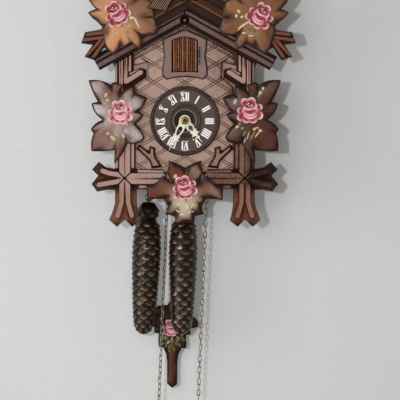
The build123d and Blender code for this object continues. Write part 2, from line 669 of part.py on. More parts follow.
def build_weights():
    profile = [(5.0, 0.0), (8.3, -4.0), (9.2, -9.0), (8.2, -15.5), (10.6, -24.0), (12.8, -38.0),
               (cone_radius, -60.0), (13.6, -82.0), (12.2, -102.0), (8.6, -115.0)]
    for name, wheel_x in (("time", time_wheel_x), ("strike", strike_wheel_x)):
        start = at(chain_front, chain_x(wheel_x, -1, 0), -wheel_drop)
        ring_drop = weight_hang - 7.0
        ring = at(chain_front, chain_x(wheel_x, -1, ring_drop + 3.0), -wheel_drop - ring_drop - 3.0)
        top = at(chain_front, chain_x(wheel_x, -1, weight_hang), -wheel_drop - weight_hang)
        edge = Spline(*[(r, z) for r, z in profile], (0, -cone_length))
        face = make_face([Line((0, 0), profile[0]), edge, Line((0, -cone_length), (0, 0))])
        cone = revolve(Plane.XZ * face, Axis.Z)
        cone += Pos(0, 0, 1.2) * Cylinder(1.6, 4.0)
        cone = Pos(*top) * Rot(0, cone_leans[name], 0) * cone
        loop = Pos(*ring) * Rot(90, 0, 0) * Torus(3.2, 0.8)
        keep("pinecone_" + name, cone + loop)
        end = at(chain_front, chain_x(wheel_x, -1, ring_drop - 0.8), -wheel_drop - ring_drop + 0.8)
        keep(f"chain_{name}_weight", rod(start, end, chain_diameter / 2))


def build_tails():
    """The pull ends of the chains: a straight strand, the stored hank, its tie and the ring."""
    for name, wheel_x in (("time", time_wheel_x), ("strike", strike_wheel_x)):
        start = at(chain_front, chain_x(wheel_x, 1, 0), -wheel_drop)
        x, z = chain_x(wheel_x, 1, chain_reach), -wheel_drop - chain_reach
        keep(f"chain_{name}_tail", rod(start, at(chain_front, x, z), chain_diameter / 2))
        section = RectangleRounded(hank_width, hank_depth, chain_diameter)
        hank = extrude(Plane(origin=at(chain_front, x, z), x_dir=(1, 0, 0), z_dir=(0, 0, -1))
                       * section, amount=hank_length)
        keep("hank_" + name, hank)
        collar = RectangleRounded(hank_width + 2.4, hank_depth + 2.4, chain_diameter + 1.2)
        tie = extrude(Plane(origin=at(chain_front, x, z - hank_length / 2 + 2.0),
                            x_dir=(1, 0, 0), z_dir=(0, 0, -1)) * (collar - section), amount=4.0)
        drop = hank_length + ring_radius + ring_wire_radius - 0.6
        pull = Pos(*at(chain_front, x, z - drop)) * Rot(90, 0, 0) * Torus(ring_radius,
                                                                        ring_wire_radius)
        keep("chain_fittings_" + name, tie, pull)


# ---------------------------------------------------------------- cuckoo, bellows and gong
def build_cuckoo():
    beak_tip = front_plate - door_thickness - cuckoo_start_gap
    sill = door_sill
    body = Pos(*at(beak_tip - 22.0, 0, sill + 10.0)) * Rot(90, 0, 0) * egg(6.0, 7.0, 14.0)
    head = Pos(*at(beak_tip - 11.0, 0, sill + 16.5)) * Sphere(5.0)
    beak = Pos(*at(beak_tip - 4.0, 0, sill + 16.5)) * Rot(90, 0, 0) * Cone(1.9, 0.4, 8.0)
    tail = box(-2.6, 2.6, beak_tip - 46.0, beak_tip - 33.0, sill + 9.5, sill + 11.5)
    post = box(-1.6, 1.6, beak_tip - 26.0, beak_tip - 20.0, sill + 0.2, sill + 6.0)
    keep("cuckoo", body + head + beak + tail + post)
    keep("cuckoo_rail", box(-4.5, 4.5, movement_back, front_case, movement_top, sill - 0.15))


def build_bellows():
    inside = case_width / 2 - case_wall
    whistles = []
    for side in (-1, 1):
        x0, x1 = sorted((side * inside, side * (inside - whistle_width)))
        pipe = box(x0, x1, whistle_back, whistle_front, whistle_low, whistle_high)
        pipe -= box(x0 + 2, x1 - 2, whistle_back + 2, whistle_front - 2, whistle_low + 2,
                    whistle_high - 2)
        pipe -= box(x0 + 3, x1 - 3, whistle_front - 4, whistle_front + 2, whistle_high - 10,
                    whistle_high - 6)
        face = Plane(origin=at(0, x0, 0), x_dir=(0, -1, 0), z_dir=(1, 0, 0))
        lid = extrude(face * Polygon((whistle_back, whistle_high), (whistle_front, whistle_high),
                                     (whistle_front, whistle_high + whistle_width),
                                     (whistle_back, whistle_high + whistle_width / 2),
                                     align=None), amount=x1 - x0)
        whistles.append(pipe + lid)
    keep("bellows", *whistles)


def build_gong():
    arcs, side, radius, x = [], 1, gong_start, gong_start
    for i in range(6):
        end = x - side * 2 * radius
        arcs.append(ThreePointArc((x, 0), ((x + end) / 2, side * radius), (end, 0)))
        x, side, radius = end, -side, radius + gong_growth
    path = front(gong_depth, 0, -gong_drop) * Wire(arcs)
    coil = sweep(Plane(origin=path @ 0, z_dir=path % 0) * Circle(gong_wire_radius), path=path)
    post = slab(Pos(gong_start, -gong_drop - 1.2) * Circle(hammer_radius),
                back_door_inset + back_door_thickness, gong_depth + 3.0)
    keep("gong", coil, post - coil)
    pin_x, pin_z = hammer_place
    arm_end = at(gong_depth, pin_x + 0.6, -gong_drop + 4.0)
    hammer = rod(at(gong_depth - 2, pin_x, pin_z),
                 at(movement_back + movement_plate + 1.0, pin_x, pin_z), arbor_radius)
    hammer += rod(at(gong_depth, pin_x, pin_z), arm_end, 0.9)
    hammer += rod(arm_end + Vector(-3.5, 0, 0), arm_end + Vector(4.0, 0, 0), hammer_radius)
    keep("hammer", hammer)


def build_all():
    build_case()
    build_roof()
    build_front()
    build_carvings()
    build_crown()
    build_bird()
    build_roses()
    build_dial()
    build_hands()
    build_door()
    build_movement()
    build_escapement()
    build_pendulum()
    build_weights()
    build_tails()
    build_cuckoo()
    build_bellows()
    build_gong()
    for name, solid in parts.items():
        export_step(solid, f"parts/{name}.step")
        print(f"{name}: {solid.volume:.0f} mm3")


build_all()
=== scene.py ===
# %% [markdown]
# # A carved cuckoo clock, piece by piece
# The clock hangs on a wall. Its frame, a set of plain solids with joints, is loaded first, and
# each cell dresses one part of it. X runs right, Y into the wall and Z up, from the hanger hole.
# Shapes are worked out in millimetres, and meshes, lamps and the camera are placed in metres.

# %% Load the frame
import math

import bpy
import numpy as np
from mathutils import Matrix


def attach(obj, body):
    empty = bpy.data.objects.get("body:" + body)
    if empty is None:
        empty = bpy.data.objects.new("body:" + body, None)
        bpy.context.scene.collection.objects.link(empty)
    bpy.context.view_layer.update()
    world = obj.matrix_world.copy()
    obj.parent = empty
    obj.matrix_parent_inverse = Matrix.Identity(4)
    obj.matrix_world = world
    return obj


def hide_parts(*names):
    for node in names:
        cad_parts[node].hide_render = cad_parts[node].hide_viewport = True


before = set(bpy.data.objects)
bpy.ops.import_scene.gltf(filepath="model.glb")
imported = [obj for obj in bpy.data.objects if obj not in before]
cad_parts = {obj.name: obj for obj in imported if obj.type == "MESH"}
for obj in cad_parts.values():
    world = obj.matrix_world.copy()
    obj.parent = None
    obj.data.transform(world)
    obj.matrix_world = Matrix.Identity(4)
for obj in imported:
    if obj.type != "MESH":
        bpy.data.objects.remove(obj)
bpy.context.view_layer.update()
mm = 0.001
dial_z = -68.0              # height of the dial's centre, in millimetres
scene = bpy.context.scene

# %% [markdown]
# ## Camera
# A long lens stands 1.4 m in front of the carving, a little right of the dial and level with the
# leaf under it, and looks square at the wall. A camera with no tilt keeps upright lines upright.

# %% Camera
camera_distance = 1.4       # from the carving's front, in metres
carving_front = 0.094       # that front's distance from the wall
half_view = 0.184           # half of the width that is seen there
camera_data = bpy.data.cameras.new("camera")
camera_data.sensor_width = 36.0
camera_data.angle = 2 * math.atan(half_view / camera_distance)
camera_data.clip_start = 0.05
camera = bpy.data.objects.new("camera", camera_data)
camera.location = (0.0139, -carving_front - camera_distance, (dial_z - 72.7) * mm)
camera.rotation_euler = (math.pi / 2, 0, 0)
scene.collection.objects.link(camera)
scene.camera = camera
print("camera at", tuple(camera.location))

# %% [markdown]
# ## Surfaces from grids
# Most pieces are a grid of points: a function of two parameters gives each point, numpy works
# out the whole grid at once, and one call turns it into a mesh. Quads join each point to its
# neighbours; a grid that closes on itself in one direction is wrapped there.


# %% Mesh helpers
def circle(steps):
    """Angles evenly round a full turn, the first one not repeated."""
    return np.linspace(0, 2 * np.pi, steps, endpoint=False)


def spun(x, z, turn):
    """Flat coordinates turned about the origin by an angle in radians, from X towards Z."""
    return x * np.cos(turn) - z * np.sin(turn), x * np.sin(turn) + z * np.cos(turn)


def quads(rows, columns, wrap_rows=False, wrap_columns=False):
    """Faces of a rows by columns grid: (i, j), (i, j+1), (i+1, j+1), (i+1, j), wrapped if asked."""
    i = np.arange(rows if wrap_rows else rows - 1)[:, None]
    j = np.arange(columns if wrap_columns else columns - 1)[None, :]
    below, after = (i + 1) % rows, (j + 1) % columns
    corners = np.broadcast_arrays(i * columns + j, i * columns + after,
                                  below * columns + after, below * columns + j)
    return np.stack(corners, -1).reshape(-1, 4)


def copies(faces, points, count):
    """The faces of count like grids, each of so many points, one after another."""
    return (faces + points * np.arange(count)[:, None, None]).reshape(-1, faces.shape[-1])


def make_mesh(name, points, faces, smooth=True, values=None):
    """A mesh object at the origin from arrays of points (in millimetres) and faces, with one
    number per point for each name in values."""
    mesh = bpy.data.meshes.new(name)
    mesh.from_pydata((np.asarray(points).reshape(-1, 3) * mm).tolist(), [],
                     faces.tolist() if hasattr(faces, "tolist") else faces)
    for key, numbers in (values or {}).items():
        attribute = mesh.attributes.new(key, "FLOAT", "POINT")
        attribute.data.foreach_set("value", np.asarray(numbers, np.float32).ravel())
    if smooth:
        mesh.polygons.foreach_set("use_smooth", np.ones(len(mesh.polygons), bool))
    mesh.update()
    obj = bpy.data.objects.new(name, mesh)
    scene.collection.objects.link(obj)
    return obj


def coat(obj, finish):
    obj.data.materials.clear()
    obj.data.materials.append(finish)


def seat(obj, body, nodes, finish):
    """The piece rides on a body, takes a material and stands for its nodes of the frame."""
    coat(obj, finish)
    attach(obj, body)
    if nodes:
        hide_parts(*nodes)
    return obj


print("helpers ready")

# %% [markdown]
# ## Chains
# Each weight hangs on one end of a chain that passes over a toothed wheel, and the other end is
# the pull end. A chain has a real length, so the length that is not in use is wound into a neat
# hank with a ring on its end. The line of the chain is one smooth NURBS curve through a few
# route points, and oval wire links are set along it, each turned a quarter from the last.


# %% The chain's line
def smooth_line(route):
    """Points along the NURBS curve of order 3 whose control points are the route, in
    millimetres."""
    data = bpy.data.curves.new("route", "CURVE")
    data.dimensions = "3D"
    data.resolution_u = 12
    spline = data.splines.new("NURBS")
    spline.points.add(len(route) - 1)
    for point, (x, y, z) in zip(spline.points, route):
        point.co = (x * mm, y * mm, z * mm, 1)
    spline.order_u = 3
    spline.use_endpoint_u = True
    holder = bpy.data.objects.new("route", data)
    scene.collection.objects.link(holder)
    mesh = bpy.data.meshes.new_from_object(holder)
    line = np.empty(len(mesh.vertices) * 3)
    mesh.vertices.foreach_get("co", line)
    bpy.data.objects.remove(holder)
    bpy.data.meshes.remove(mesh)
    return line.reshape(-1, 3) / mm


chain_width = 3.6           # across a link
link_wire = 0.48            # radius of the wire
link_pitch = 5.3            # from one link's middle to the next
plumb_lean = math.radians(2.4)
chain_depth = -60.6         # all four strands hang in this plane
wheel_z = dial_z - 17.5
wheel_x = {"time": -22.4, "strike": 11.2}
wheel_radius = 9.8
stray = {"time": -2.0, "strike": 1.4}     # how far a pull strand hangs beside its wheel
stray_drop = 18.6           # from the arbor down to where it has moved over that far
hook_drop, cone_drop = 53.0, 57.0       # from the arbor to a hook's middle and a cone's top


def hang(name, side, drop, forward=0.0):
    """A place on a strand, drop below its wheel's arbor, on the clock's lean off plumb."""
    x = wheel_x[name] + side * wheel_radius - drop * math.tan(plumb_lean)
    x += stray[name] * (side > 0) * min(drop / stray_drop, 1)
    return (x, chain_depth - forward, wheel_z - drop)


print("the chains hang", -chain_depth, "mm from the wall")

# %% [markdown]
# A link's middle is found by measuring along the line, one pitch after another. The link itself is
# an oval of round wire, swept as a grid of points round its middle line.


# %% Links
def link_frames(line):
    """Places and directions at each link's middle: length along the line is summed, read back
    at whole pitches, and each tangent gets a side that is level with the wall."""
    run = np.r_[0, np.cumsum(np.linalg.norm(np.diff(line, axis=0), axis=1))]
    count = int(run[-1] / link_pitch)
    spots = (np.arange(count) + 0.5) * run[-1] / count
    behind, centre, ahead = (np.stack([np.interp(spots + shift, run, line[:, k])
                                       for k in range(3)], -1) for shift in (-0.8, 0, 0.8))
    along = ahead - behind
    along /= np.linalg.norm(along, axis=1)[:, None]
    depth = np.array([0, 1.0, 0]) - along * along[:, 1:2]
    depth /= np.linalg.norm(depth, axis=1)[:, None]
    return centre, along, depth, np.cross(depth, along), run[-1]


def links(line, roll):
    """Oval wire links on a line. Link k is the loop (w cos a, h sin a) with straightened sides,
    carried round a wire of small radius, and turned about the line by roll and k quarter
    turns."""
    centre, along, depth, side, length = link_frames(line)
    steps, sides = 14, 5
    a, b = circle(steps)[:, None], circle(sides)
    half_width = chain_width / 2 - link_wire
    straight = link_pitch / 2 + link_wire - half_width
    across = (half_width + link_wire * np.cos(b)) * np.cos(a)
    up = (half_width + link_wire * np.cos(b)) * np.sin(a) + straight * np.tanh(4 * np.sin(a))
    out = link_wire * np.sin(b) + 0 * a
    turn = roll + np.arange(len(centre)) * np.pi / 2
    u = np.cos(turn)[:, None] * side + np.sin(turn)[:, None] * depth
    v = -np.sin(turn)[:, None] * side + np.cos(turn)[:, None] * depth
    points = (centre[:, None, None] + u[:, None, None] * across[..., None]
              + along[:, None, None] * up[..., None] + v[:, None, None] * out[..., None])
    return points, copies(quads(steps, sides, True, True), steps * sides, len(centre)), length


print("links are", round(link_pitch, 2), "mm apart")


# %% [markdown]
# The stored length is an oval coil: ten and a half turns, first an outer layer from front to
# back, then an inner one from back to front. Each turn has twelve route points, three on each
# straight side and three round each end.


# %% Stored hanks
hank_top = 256.0            # below the wheel's arbor
hank_length = 60.0
outer_radius, inner_radius = 7.7, 4.5   # of the round ends of its two layers
oval_side = np.array([1, 1, 1, .72, 0, -.72, -1, -1, -1, -.72, 0, .72])
oval_end = np.array([0, 0, 0, -.72, -1, -.72, 0, 0, 0, .72, 1, .72])
oval_straight = np.array([1, 0, -1, -1, -1, -1, -1, 0, 1, 1, 1, 1])


def coil(name, radius, first_depth, last_depth, turns, phase):
    """Route points of oval turns: straight sides two radii apart, round ends, and a depth that
    changes evenly. Each turn is a little longer or shorter than the last."""
    k = np.arange(int(12 * turns))
    share = k / (12 * turns)
    x, _, z = hang(name, 1, hank_top)
    half = hank_length / 2 - 9.25 - 0.8 * (1 + np.sin(k // 12 * 2.1 + phase)) / 2
    spot = (k + 11) % 12
    return np.stack([x + radius * oval_side[spot],
                     chain_depth + first_depth + (last_depth - first_depth) * share,
                     z - hank_length / 2 + half * oval_straight[spot]
                     + radius * oval_end[spot]], -1)


def pull_route(name):
    """From the wheel straight down, then the two layers of the hank, and out at its foot."""
    x, y, z = hang(name, 1, hank_top)
    foot = z - hank_length
    start = [*(hang(name, 1, drop) for drop in (0, stray_drop, 120.0, hank_top - 24.0)),
             hang(name, 1, hank_top - 8.0, 3.4)]
    outer = coil(name, outer_radius, -7.1, 7.1, 5, 0.4)
    inner = coil(name, inner_radius, 7.1, -5.6, 4.5, 1.9)
    end = [(x, y - 6.6, foot + 4.4), (x, y - 4.0, foot + 1.6), (x, y, foot + 0.4)]
    return [tuple(p) for p in [*start, *outer.tolist(), *inner.tolist(), *end]]


def wire_loop(centre, radius, wire):
    """A ring in a plane parallel to the wall: radius + wire cos b carried round the circle."""
    steps, sides = 48, 12
    a, b = circle(steps)[:, None], circle(sides)
    reach = radius + wire * np.cos(b)
    points = np.stack([reach * np.cos(a), wire * np.sin(b) + 0 * a, reach * np.sin(a)], -1)
    return points + np.array(centre), quads(steps, sides, True, True)[:, ::-1]


def tie_band(name):
    """Three turns of soft wire round the hank: a rounded rectangle carried up a little at each
    turn."""
    x, y, z = hang(name, 1, hank_top)
    turns, sides = 3, 7
    steps = 48 * turns
    a, b = np.linspace(0, 2 * np.pi * turns, steps)[:, None], circle(sides)
    wide, deep, power = 9.9, 9.4, 0.35
    c, s = np.cos(a), np.sin(a)
    grow = 1 + 0.055 * np.cos(b)
    px = wide * np.sign(c) * np.abs(c) ** power * grow
    py = deep * np.sign(s) * np.abs(s) ** power * grow
    pz = (a / (2 * np.pi * turns) - 0.5) * 2.9 + 0.55 * np.sin(b)
    points = np.stack([x + px, y + py, z - hank_length / 2 + pz], -1)
    faces = quads(steps, sides, False, True).tolist()
    faces.append(list(range(sides)))
    faces.append([(steps - 1) * sides + k for k in range(sides)][::-1])
    return points, faces


print("a stored hank is", hank_length, "mm long")

# %% [markdown]
# Each end of a chain is made on its own, with its real length and the wire pieces on it: a
# hook that holds the weight on one end, and the hank's tie and a ring on the other.

# %% Chains on the clock
chain_pieces, chain_wires = [], []


def hang_chain(piece, body, nodes, route, roll, wires, wire_node):
    """One end of a chain, as links along a smooth line, and its wire pieces. Returns its length in
    millimetres."""
    line = smooth_line(route)
    points, faces, length = links(line, roll)
    chain = make_mesh(piece, points, faces)
    loops = [make_mesh(wire, *shape) for wire, shape in wires]
    chain_pieces.append((chain, body, nodes))
    chain_wires.extend((loop, body, (wire_node,)) for loop in loops)
    return length


for name, roll in (("time", 0.72), ("strike", 0.12)):
    x, y, z = hang(name, 1, hank_top)
    pull_ring = wire_loop((x, y, z - hank_length - 8.6), 8.0, 1.2)
    pull = hang_chain("chain_pull_" + name, f"{name}_tail", (f"chain_{name}_tail", f"hank_{name}"),
                      pull_route(name), roll,
                      [("ring_" + name, pull_ring), ("tie_" + name, tie_band(name))],
                      f"chain_fittings_{name}")
    short = hang_chain("chain_weight_" + name, f"{name}_weight", (f"chain_{name}_weight",),
                       [hang(name, -1, drop) for drop in (0, 12, 24, 36, 49.2)], 0.6,
                       [("hook_" + name, wire_loop(hang(name, -1, hook_drop), 3.2, 0.8))],
                       f"pinecone_{name}")
    print(name, "pull end", round(pull), "mm, weight end", round(short), "mm")

# %% [markdown]
# ## Stained wood
# The case and carvings are lime wood, stained brown and lacquered. Surfaces that face the front
# are painted a pale mauve brown as the light and sheen on them, sides that face away are painted
# dark as shade, and grooves and edges keep the dark stain. One node group gives that: it reads how
# squarely a surface faces the front for the painted light and shade, adds the wood's grain and
# takes a mask, called stain, that each carved piece carries on its points.


# %% Node helpers
def colour(red, green, blue):
    """A colour given as 0 to 255 display values, as the linear colour that shaders want."""
    value = np.array([red, green, blue]) / 255
    return (*np.where(value > 0.04045, ((value + 0.055) / 1.055) ** 2.4, value / 12.92), 1.0)


def plug(node, inputs):
    """The node's inputs linked to sockets or set to values. A socket's id_data is its tree."""
    for key, value in inputs.items():
        if isinstance(value, bpy.types.NodeSocket):
            node.id_data.links.new(value, node.inputs[key])
        else:
            node.inputs[key].default_value = value


def add(tree, kind, inputs=None, **settings):
    """A new node with its settings and inputs."""
    node = tree.nodes.new(kind)
    for key, value in settings.items():
        setattr(node, key, value)
    plug(node, inputs or {})
    return node


def group(name, inputs, outputs):
    """An empty node group with named inputs (name: default) and outputs (name: kind)."""
    tree = bpy.data.node_groups.new(name, "ShaderNodeTree")
    for key, value in inputs.items():
        kind = "NodeSocketColor" if isinstance(value, tuple) else "NodeSocketFloat"
        tree.interface.new_socket(key, in_out="INPUT", socket_type=kind).default_value = value
    for key, kind in outputs.items():
        tree.interface.new_socket(key, in_out="OUTPUT", socket_type=kind)
    return tree, tree.nodes.new("NodeGroupInput").outputs, tree.nodes.new("NodeGroupOutput")


def blend_colours(amount, first, second):
    """A mix of two colours: the first at 0, the second at 1."""
    return add(amount.id_data, "ShaderNodeMix", {0: amount, 6: first, 7: second},
               data_type="RGBA", clamp_factor=True).outputs[2]


def ramp(value, low, high, to_low=0.0, to_high=1.0):
    """A smooth step: to_low where value is under low, to_high where it is over high."""
    return add(value.id_data, "ShaderNodeMapRange",
               {"Value": value, "From Min": low, "From Max": high, "To Min": to_low,
                "To Max": to_high}, interpolation_type="SMOOTHSTEP").outputs["Result"]


def maths(operation, first, second):
    """One operation on two numbers, at least one of which is a socket."""
    tree = (first if isinstance(first, bpy.types.NodeSocket) else second).id_data
    return add(tree, "ShaderNodeMath", {0: first, 1: second}, operation=operation).outputs[0]


print("node helpers ready")

# %% [markdown]
# No real surface is even. Noise over the object's own coordinates varies a finish, and a mask that
# a piece carries on its points says where a stain or a paint lies.


# %% Patterns and masks
def noise(tree, scale, detail=3.0, roughness=0.6):
    """Noise over object coordinates, scaled by one number or by one for each axis."""
    spot = add(tree, "ShaderNodeTexCoord").outputs["Object"]
    size = scale if isinstance(scale, tuple) else (scale,) * 3
    spot = add(tree, "ShaderNodeMapping", {"Vector": spot, "Scale": size}).outputs["Vector"]
    return add(tree, "ShaderNodeTexNoise", {"Vector": spot, "Scale": 1.0, "Detail": detail,
                                            "Roughness": roughness}).outputs["Fac"]


def varied(value, pattern, middle, amount):
    """The value, raised by amount times what the pattern is above its middle."""
    return maths("ADD", value, maths("MULTIPLY", maths("SUBTRACT", pattern, middle), amount))


def mask(tree, name):
    """The number that a piece carries on its points under that name."""
    return add(tree, "ShaderNodeAttribute", attribute_name=name).outputs["Fac"]


def bumped(height, strength, distance):
    return add(height.id_data, "ShaderNodeBump", {"Height": height, "Strength": strength,
                                                  "Distance": distance}).outputs["Normal"]


def material(name):
    """A new material, its node tree and its Principled shader."""
    made = bpy.data.materials.new(name)
    made.use_nodes = True
    return made, made.node_tree, made.node_tree.nodes["Principled BSDF"]


print("pattern helpers ready")

# %% The stained wood group
stain, given, result = group(
    "stained wood", {"Pale": (.5, .4, .38, 1.0), "Dark": (.08, .03, .02, 1.0), "Stain": 0.0,
                     "Grain": 1.0, "Side_shade": 1.0},
    {"Color": "NodeSocketColor", "Height": "NodeSocketFloat", "Roughness": "NodeSocketFloat"})
# painted light and shade: a surface that faces the front is painted pale as lit, one that faces away dark
# as shade
facing_for_painted_light = add(stain, "ShaderNodeSeparateXYZ",
             {0: add(stain, "ShaderNodeTexCoord").outputs["Normal"]}).outputs["Y"]
front = ramp(maths("MULTIPLY", facing_for_painted_light, -1.0), 0.55, 0.97)
front = maths("MAXIMUM", front, maths("SUBTRACT", 1.0, given["Side_shade"]))
fibre = noise(stain, (900.0, 500.0, 60.0), 4.0, 0.65)
cloud = noise(stain, (70.0, 70.0, 45.0), 2.0, 0.5)
pores = noise(stain, (2600.0, 2600.0, 420.0), 2.0, 0.7)
lit_front_less_stain = varied(maths("SUBTRACT", front, given["Stain"]), cloud, 0.5, 0.55)
stipple = noise(stain, 430.0, 2.0)
lit_front_less_stain = varied(lit_front_less_stain, stipple, 0.5, maths("MULTIPLY", given["Grain"], 0.62))
tone = blend_colours(ramp(lit_front_less_stain, 0.05, 0.95), given["Dark"], given["Pale"])
streak = maths("MULTIPLY", ramp(fibre, 0.35, 0.72), maths("MULTIPLY", given["Grain"], 0.2))
tone = blend_colours(streak, tone, given["Dark"])
speck = maths("MULTIPLY", ramp(pores, 0.60, 0.72, 0.0, 0.35), given["Grain"])
tone = blend_colours(speck, tone, given["Dark"])
height = maths("ADD", maths("MULTIPLY", fibre, -0.6), maths("MULTIPLY", pores, -0.4))
plug(result, {"Color": tone, "Height": maths("MULTIPLY", height, given["Grain"]),
                     "Roughness": ramp(cloud, 0.3, 0.7, 0.30, 0.44)})
print("stained wood group with", len(stain.nodes), "nodes")


def stained(name, pale, dark, grain=1.0, bump=0.10, front=1.0, tint=None):
    """Stained and lacquered wood. Its stain mask is the piece's own stain attribute, and tint,
    where given, is a second colour laid on by the piece's tint mask, a real tint on some pieces
    and painted sheen on the leaves and the dial's beads. With front at 0 there is no painted
    shade on the sides, and every side is as pale as the front."""
    made, tree, shader = material(name)
    pale = colour(*pale)
    if tint:
        pale = blend_colours(mask(tree, "tint_and_sheen"), pale, colour(*tint))
    wood = add(tree, "ShaderNodeGroup", {}, node_tree=stain)
    plug(wood, {"Pale": pale, "Dark": colour(*dark), "Stain": mask(tree, "stain"),
                "Grain": grain, "Side_shade": front})
    plug(shader, {"Base Color": wood.outputs["Color"],
                  "Normal": bumped(wood.outputs["Height"], bump, 0.0006),
                  "Roughness": wood.outputs["Roughness"], "Coat Weight": 0.08,
                  "Coat Roughness": 0.28, "Specular IOR Level": 0.28})
    return made


front_wood = stained("front_wood", (166, 138, 132), (66, 37, 26))
case_wood = stained("case_wood", (112, 84, 76), (58, 34, 25))
leaf_wood = stained("leaf_wood", (118, 76, 61), (44, 21, 14), grain=0.7, tint=(198, 185, 184))
dim_leaf_wood = stained("dim_leaf_wood", (83, 48, 37), (34, 17, 12), grain=0.7, tint=(140, 117, 113))
low_leaf_wood = stained("low_leaf_wood", (102, 48, 31), (42, 20, 12), grain=0.7, tint=(198, 182, 158))
crown_leaf_wood = stained("crown_leaf_wood", (130, 91, 69), (60, 35, 25), grain=0.7, tint=(202, 144, 103))
warm_leaf_wood = stained("warm_leaf_wood", (112, 74, 53), (54, 31, 21), grain=0.7, tint=(184, 125, 81))
door_wood = stained("door_wood", (124, 72, 48), (50, 27, 19), grain=1.4, tint=(176, 117, 76))
dial_wood = stained("dial_wood", (86, 70, 66), (36, 27, 24), grain=0.6, bump=0.05, tint=(158, 140, 128))
inner_wood = stained("inner_wood", (190, 160, 120), (150, 118, 82), front=0.0)
print("woods:", [m.name for m in bpy.data.materials])

# %% Metals
def metal(name, shade, worn, roughness, patches=260.0):
    """Metal with patches of tarnish: a second colour and more roughness where noise is high."""
    made, tree, shader = material(name)
    patch = ramp(noise(tree, patches, 4.0), 0.42, 0.66)
    plug(shader, {"Base Color": blend_colours(patch, colour(*shade), colour(*worn)),
                  "Roughness": maths("ADD", maths("MULTIPLY", patch, 0.22), roughness),
                  "Metallic": 1.0})
    return made


aged_brass = metal("aged_brass", (208, 202, 180), (92, 84, 64), 0.36)
bright_brass = metal("bright_brass", (206, 178, 112), (168, 138, 80), 0.26, 90.0)
wire_steel = metal("wire_steel", (186, 186, 184), (138, 136, 132), 0.3)
for piece, body, nodes in chain_pieces:
    seat(piece, body, nodes, aged_brass)
for piece, body, nodes in chain_wires:
    seat(piece, body, nodes, wire_steel if "hook" in piece.name else aged_brass)
print("chains in aged brass, hooks in steel")

# %% [markdown]
# ## Carved boards
# A carving starts as a board sawn to an outline. Here the outline is traced point by point,
# the inside is filled with a fine net of triangles that keeps every sawn edge and every groove
# as a line of the net, and a formula for the height lifts each point of the front. Outlines are
# measured from the dial's middle, and heights from the wall.


# %% Outlines
def full(outline):
    """The corners (x, z) or (x, z, bulge), all with the bulge of the side that follows."""
    return [(*corner, 0)[:3] for corner in outline]


def trace(outline, step=0.9):
    """A closed run of points along an outline. A side with a bulge bows out by
    4 t (1 - t) bulge times its length."""
    corners = np.array([p[:2] for p in outline], float)
    runs = np.roll(corners, -1, 0) - corners
    pieces = []
    for start, run, (_, _, bulge) in zip(corners, runs, full(outline)):
        t = np.arange(max(1, math.ceil(math.hypot(*run) / step)))[:, None]
        t = t / len(t)
        pieces.append(start + run * t + 4 * t * (1 - t) * bulge * np.array([run[1], -run[0]]))
    return np.concatenate(pieces)


def flipped(outline):
    """The outline mirrored left to right, in the same sense of turning."""
    corners = full(outline)
    return [(-x, z, corners[i - 1][2]) for i, (x, z, _) in enumerate(corners)][::-1]


def moved(outline, x, z):
    return [(px + x, pz + z, bulge) for px, pz, bulge in full(outline)]


def on_side(outline, side):
    return outline if side > 0 else flipped(outline)


def doubled(half, last=True):
    """Half an outline, which starts on the middle line, with its straight sided mirror image.
    The last corner is mirrored too unless it lies on the middle line."""
    return half + [(-x, z) for x, z, *_ in (half[:0:-1] if last else half[-2:0:-1])]


print("outline helpers ready")

# %% [markdown]
# How high the wood stands at a point depends on how far that point is from the sawn edge and from
# the cuts. Both are distances to straight segments, which numpy works out for all points at once.


# %% Distances
def as_lines(lines):
    """Segments as an array: line, end, coordinate."""
    return np.asarray(lines, float).reshape(-1, 2, 2)


def segment_distance(points, starts, ends):
    """Distance from each point to the nearest of the segments, which one that is, and how far
    along it the nearest spot lies, from 0 to 1."""
    run = ends - starts
    gap = points[:, None] - starts
    t = np.clip((gap * run).sum(-1) / np.maximum((run * run).sum(-1), 1e-9), 0, 1)
    reach = np.linalg.norm(gap - t[..., None] * run, axis=-1)
    return reach.min(1), reach.argmin(1), t[np.arange(len(points)), reach.argmin(1)]


def edge_distance(points, polygon):
    return segment_distance(points, polygon, np.roll(polygon, -1, 0))[0]


def line_distance(points, lines):
    lines = as_lines(lines)
    return segment_distance(points, lines[:, 0], lines[:, 1])[0]


def within(points, polygon):
    """Whether each point is inside: a ray to the right crosses the outline an odd number of
    times."""
    a, b = polygon, np.roll(polygon, -1, 0)
    x, z = points[:, :1], points[:, 1:]
    crosses = (a[:, 1] > z) != (b[:, 1] > z)
    at_x = (b[:, 0] - a[:, 0]) * (z - a[:, 1]) / (b[:, 1] - a[:, 1] + 1e-12) + a[:, 0]
    return (crosses & (x < at_x)).sum(1) % 2 == 1


def shifted(lines, shift):
    """Lines moved square to themselves."""
    lines = as_lines(lines)
    run = lines[:, 1] - lines[:, 0]
    square = np.stack([-run[:, 1], run[:, 0]], -1)
    return lines + shift * (square / np.linalg.norm(square, axis=1)[:, None])[:, None]


print("distance helpers ready")

# %% [markdown]
# The net has rows of points along each edge and along the middle and both lips of each groove,
# which keeps them sharp. A plain grid would blur them.

# %% Nets and boards
from mathutils import Vector
from mathutils.geometry import delaunay_2d_cdt


def groove_lines(lines, half_width):
    """Each groove's middle line and its two lips, as segments."""
    return np.concatenate([shifted(lines, shift * half_width) for shift in (-1, 0, 1)])


def turned_left(ring, left=True):
    """The ring in the sense that keeps its inside on the left, or on the right."""
    ahead = np.roll(ring, -1, 0)
    area = (ring[:, 0] * ahead[:, 1] - ahead[:, 0] * ring[:, 1]).sum()
    return ring if (area > 0) == left else ring[::-1]


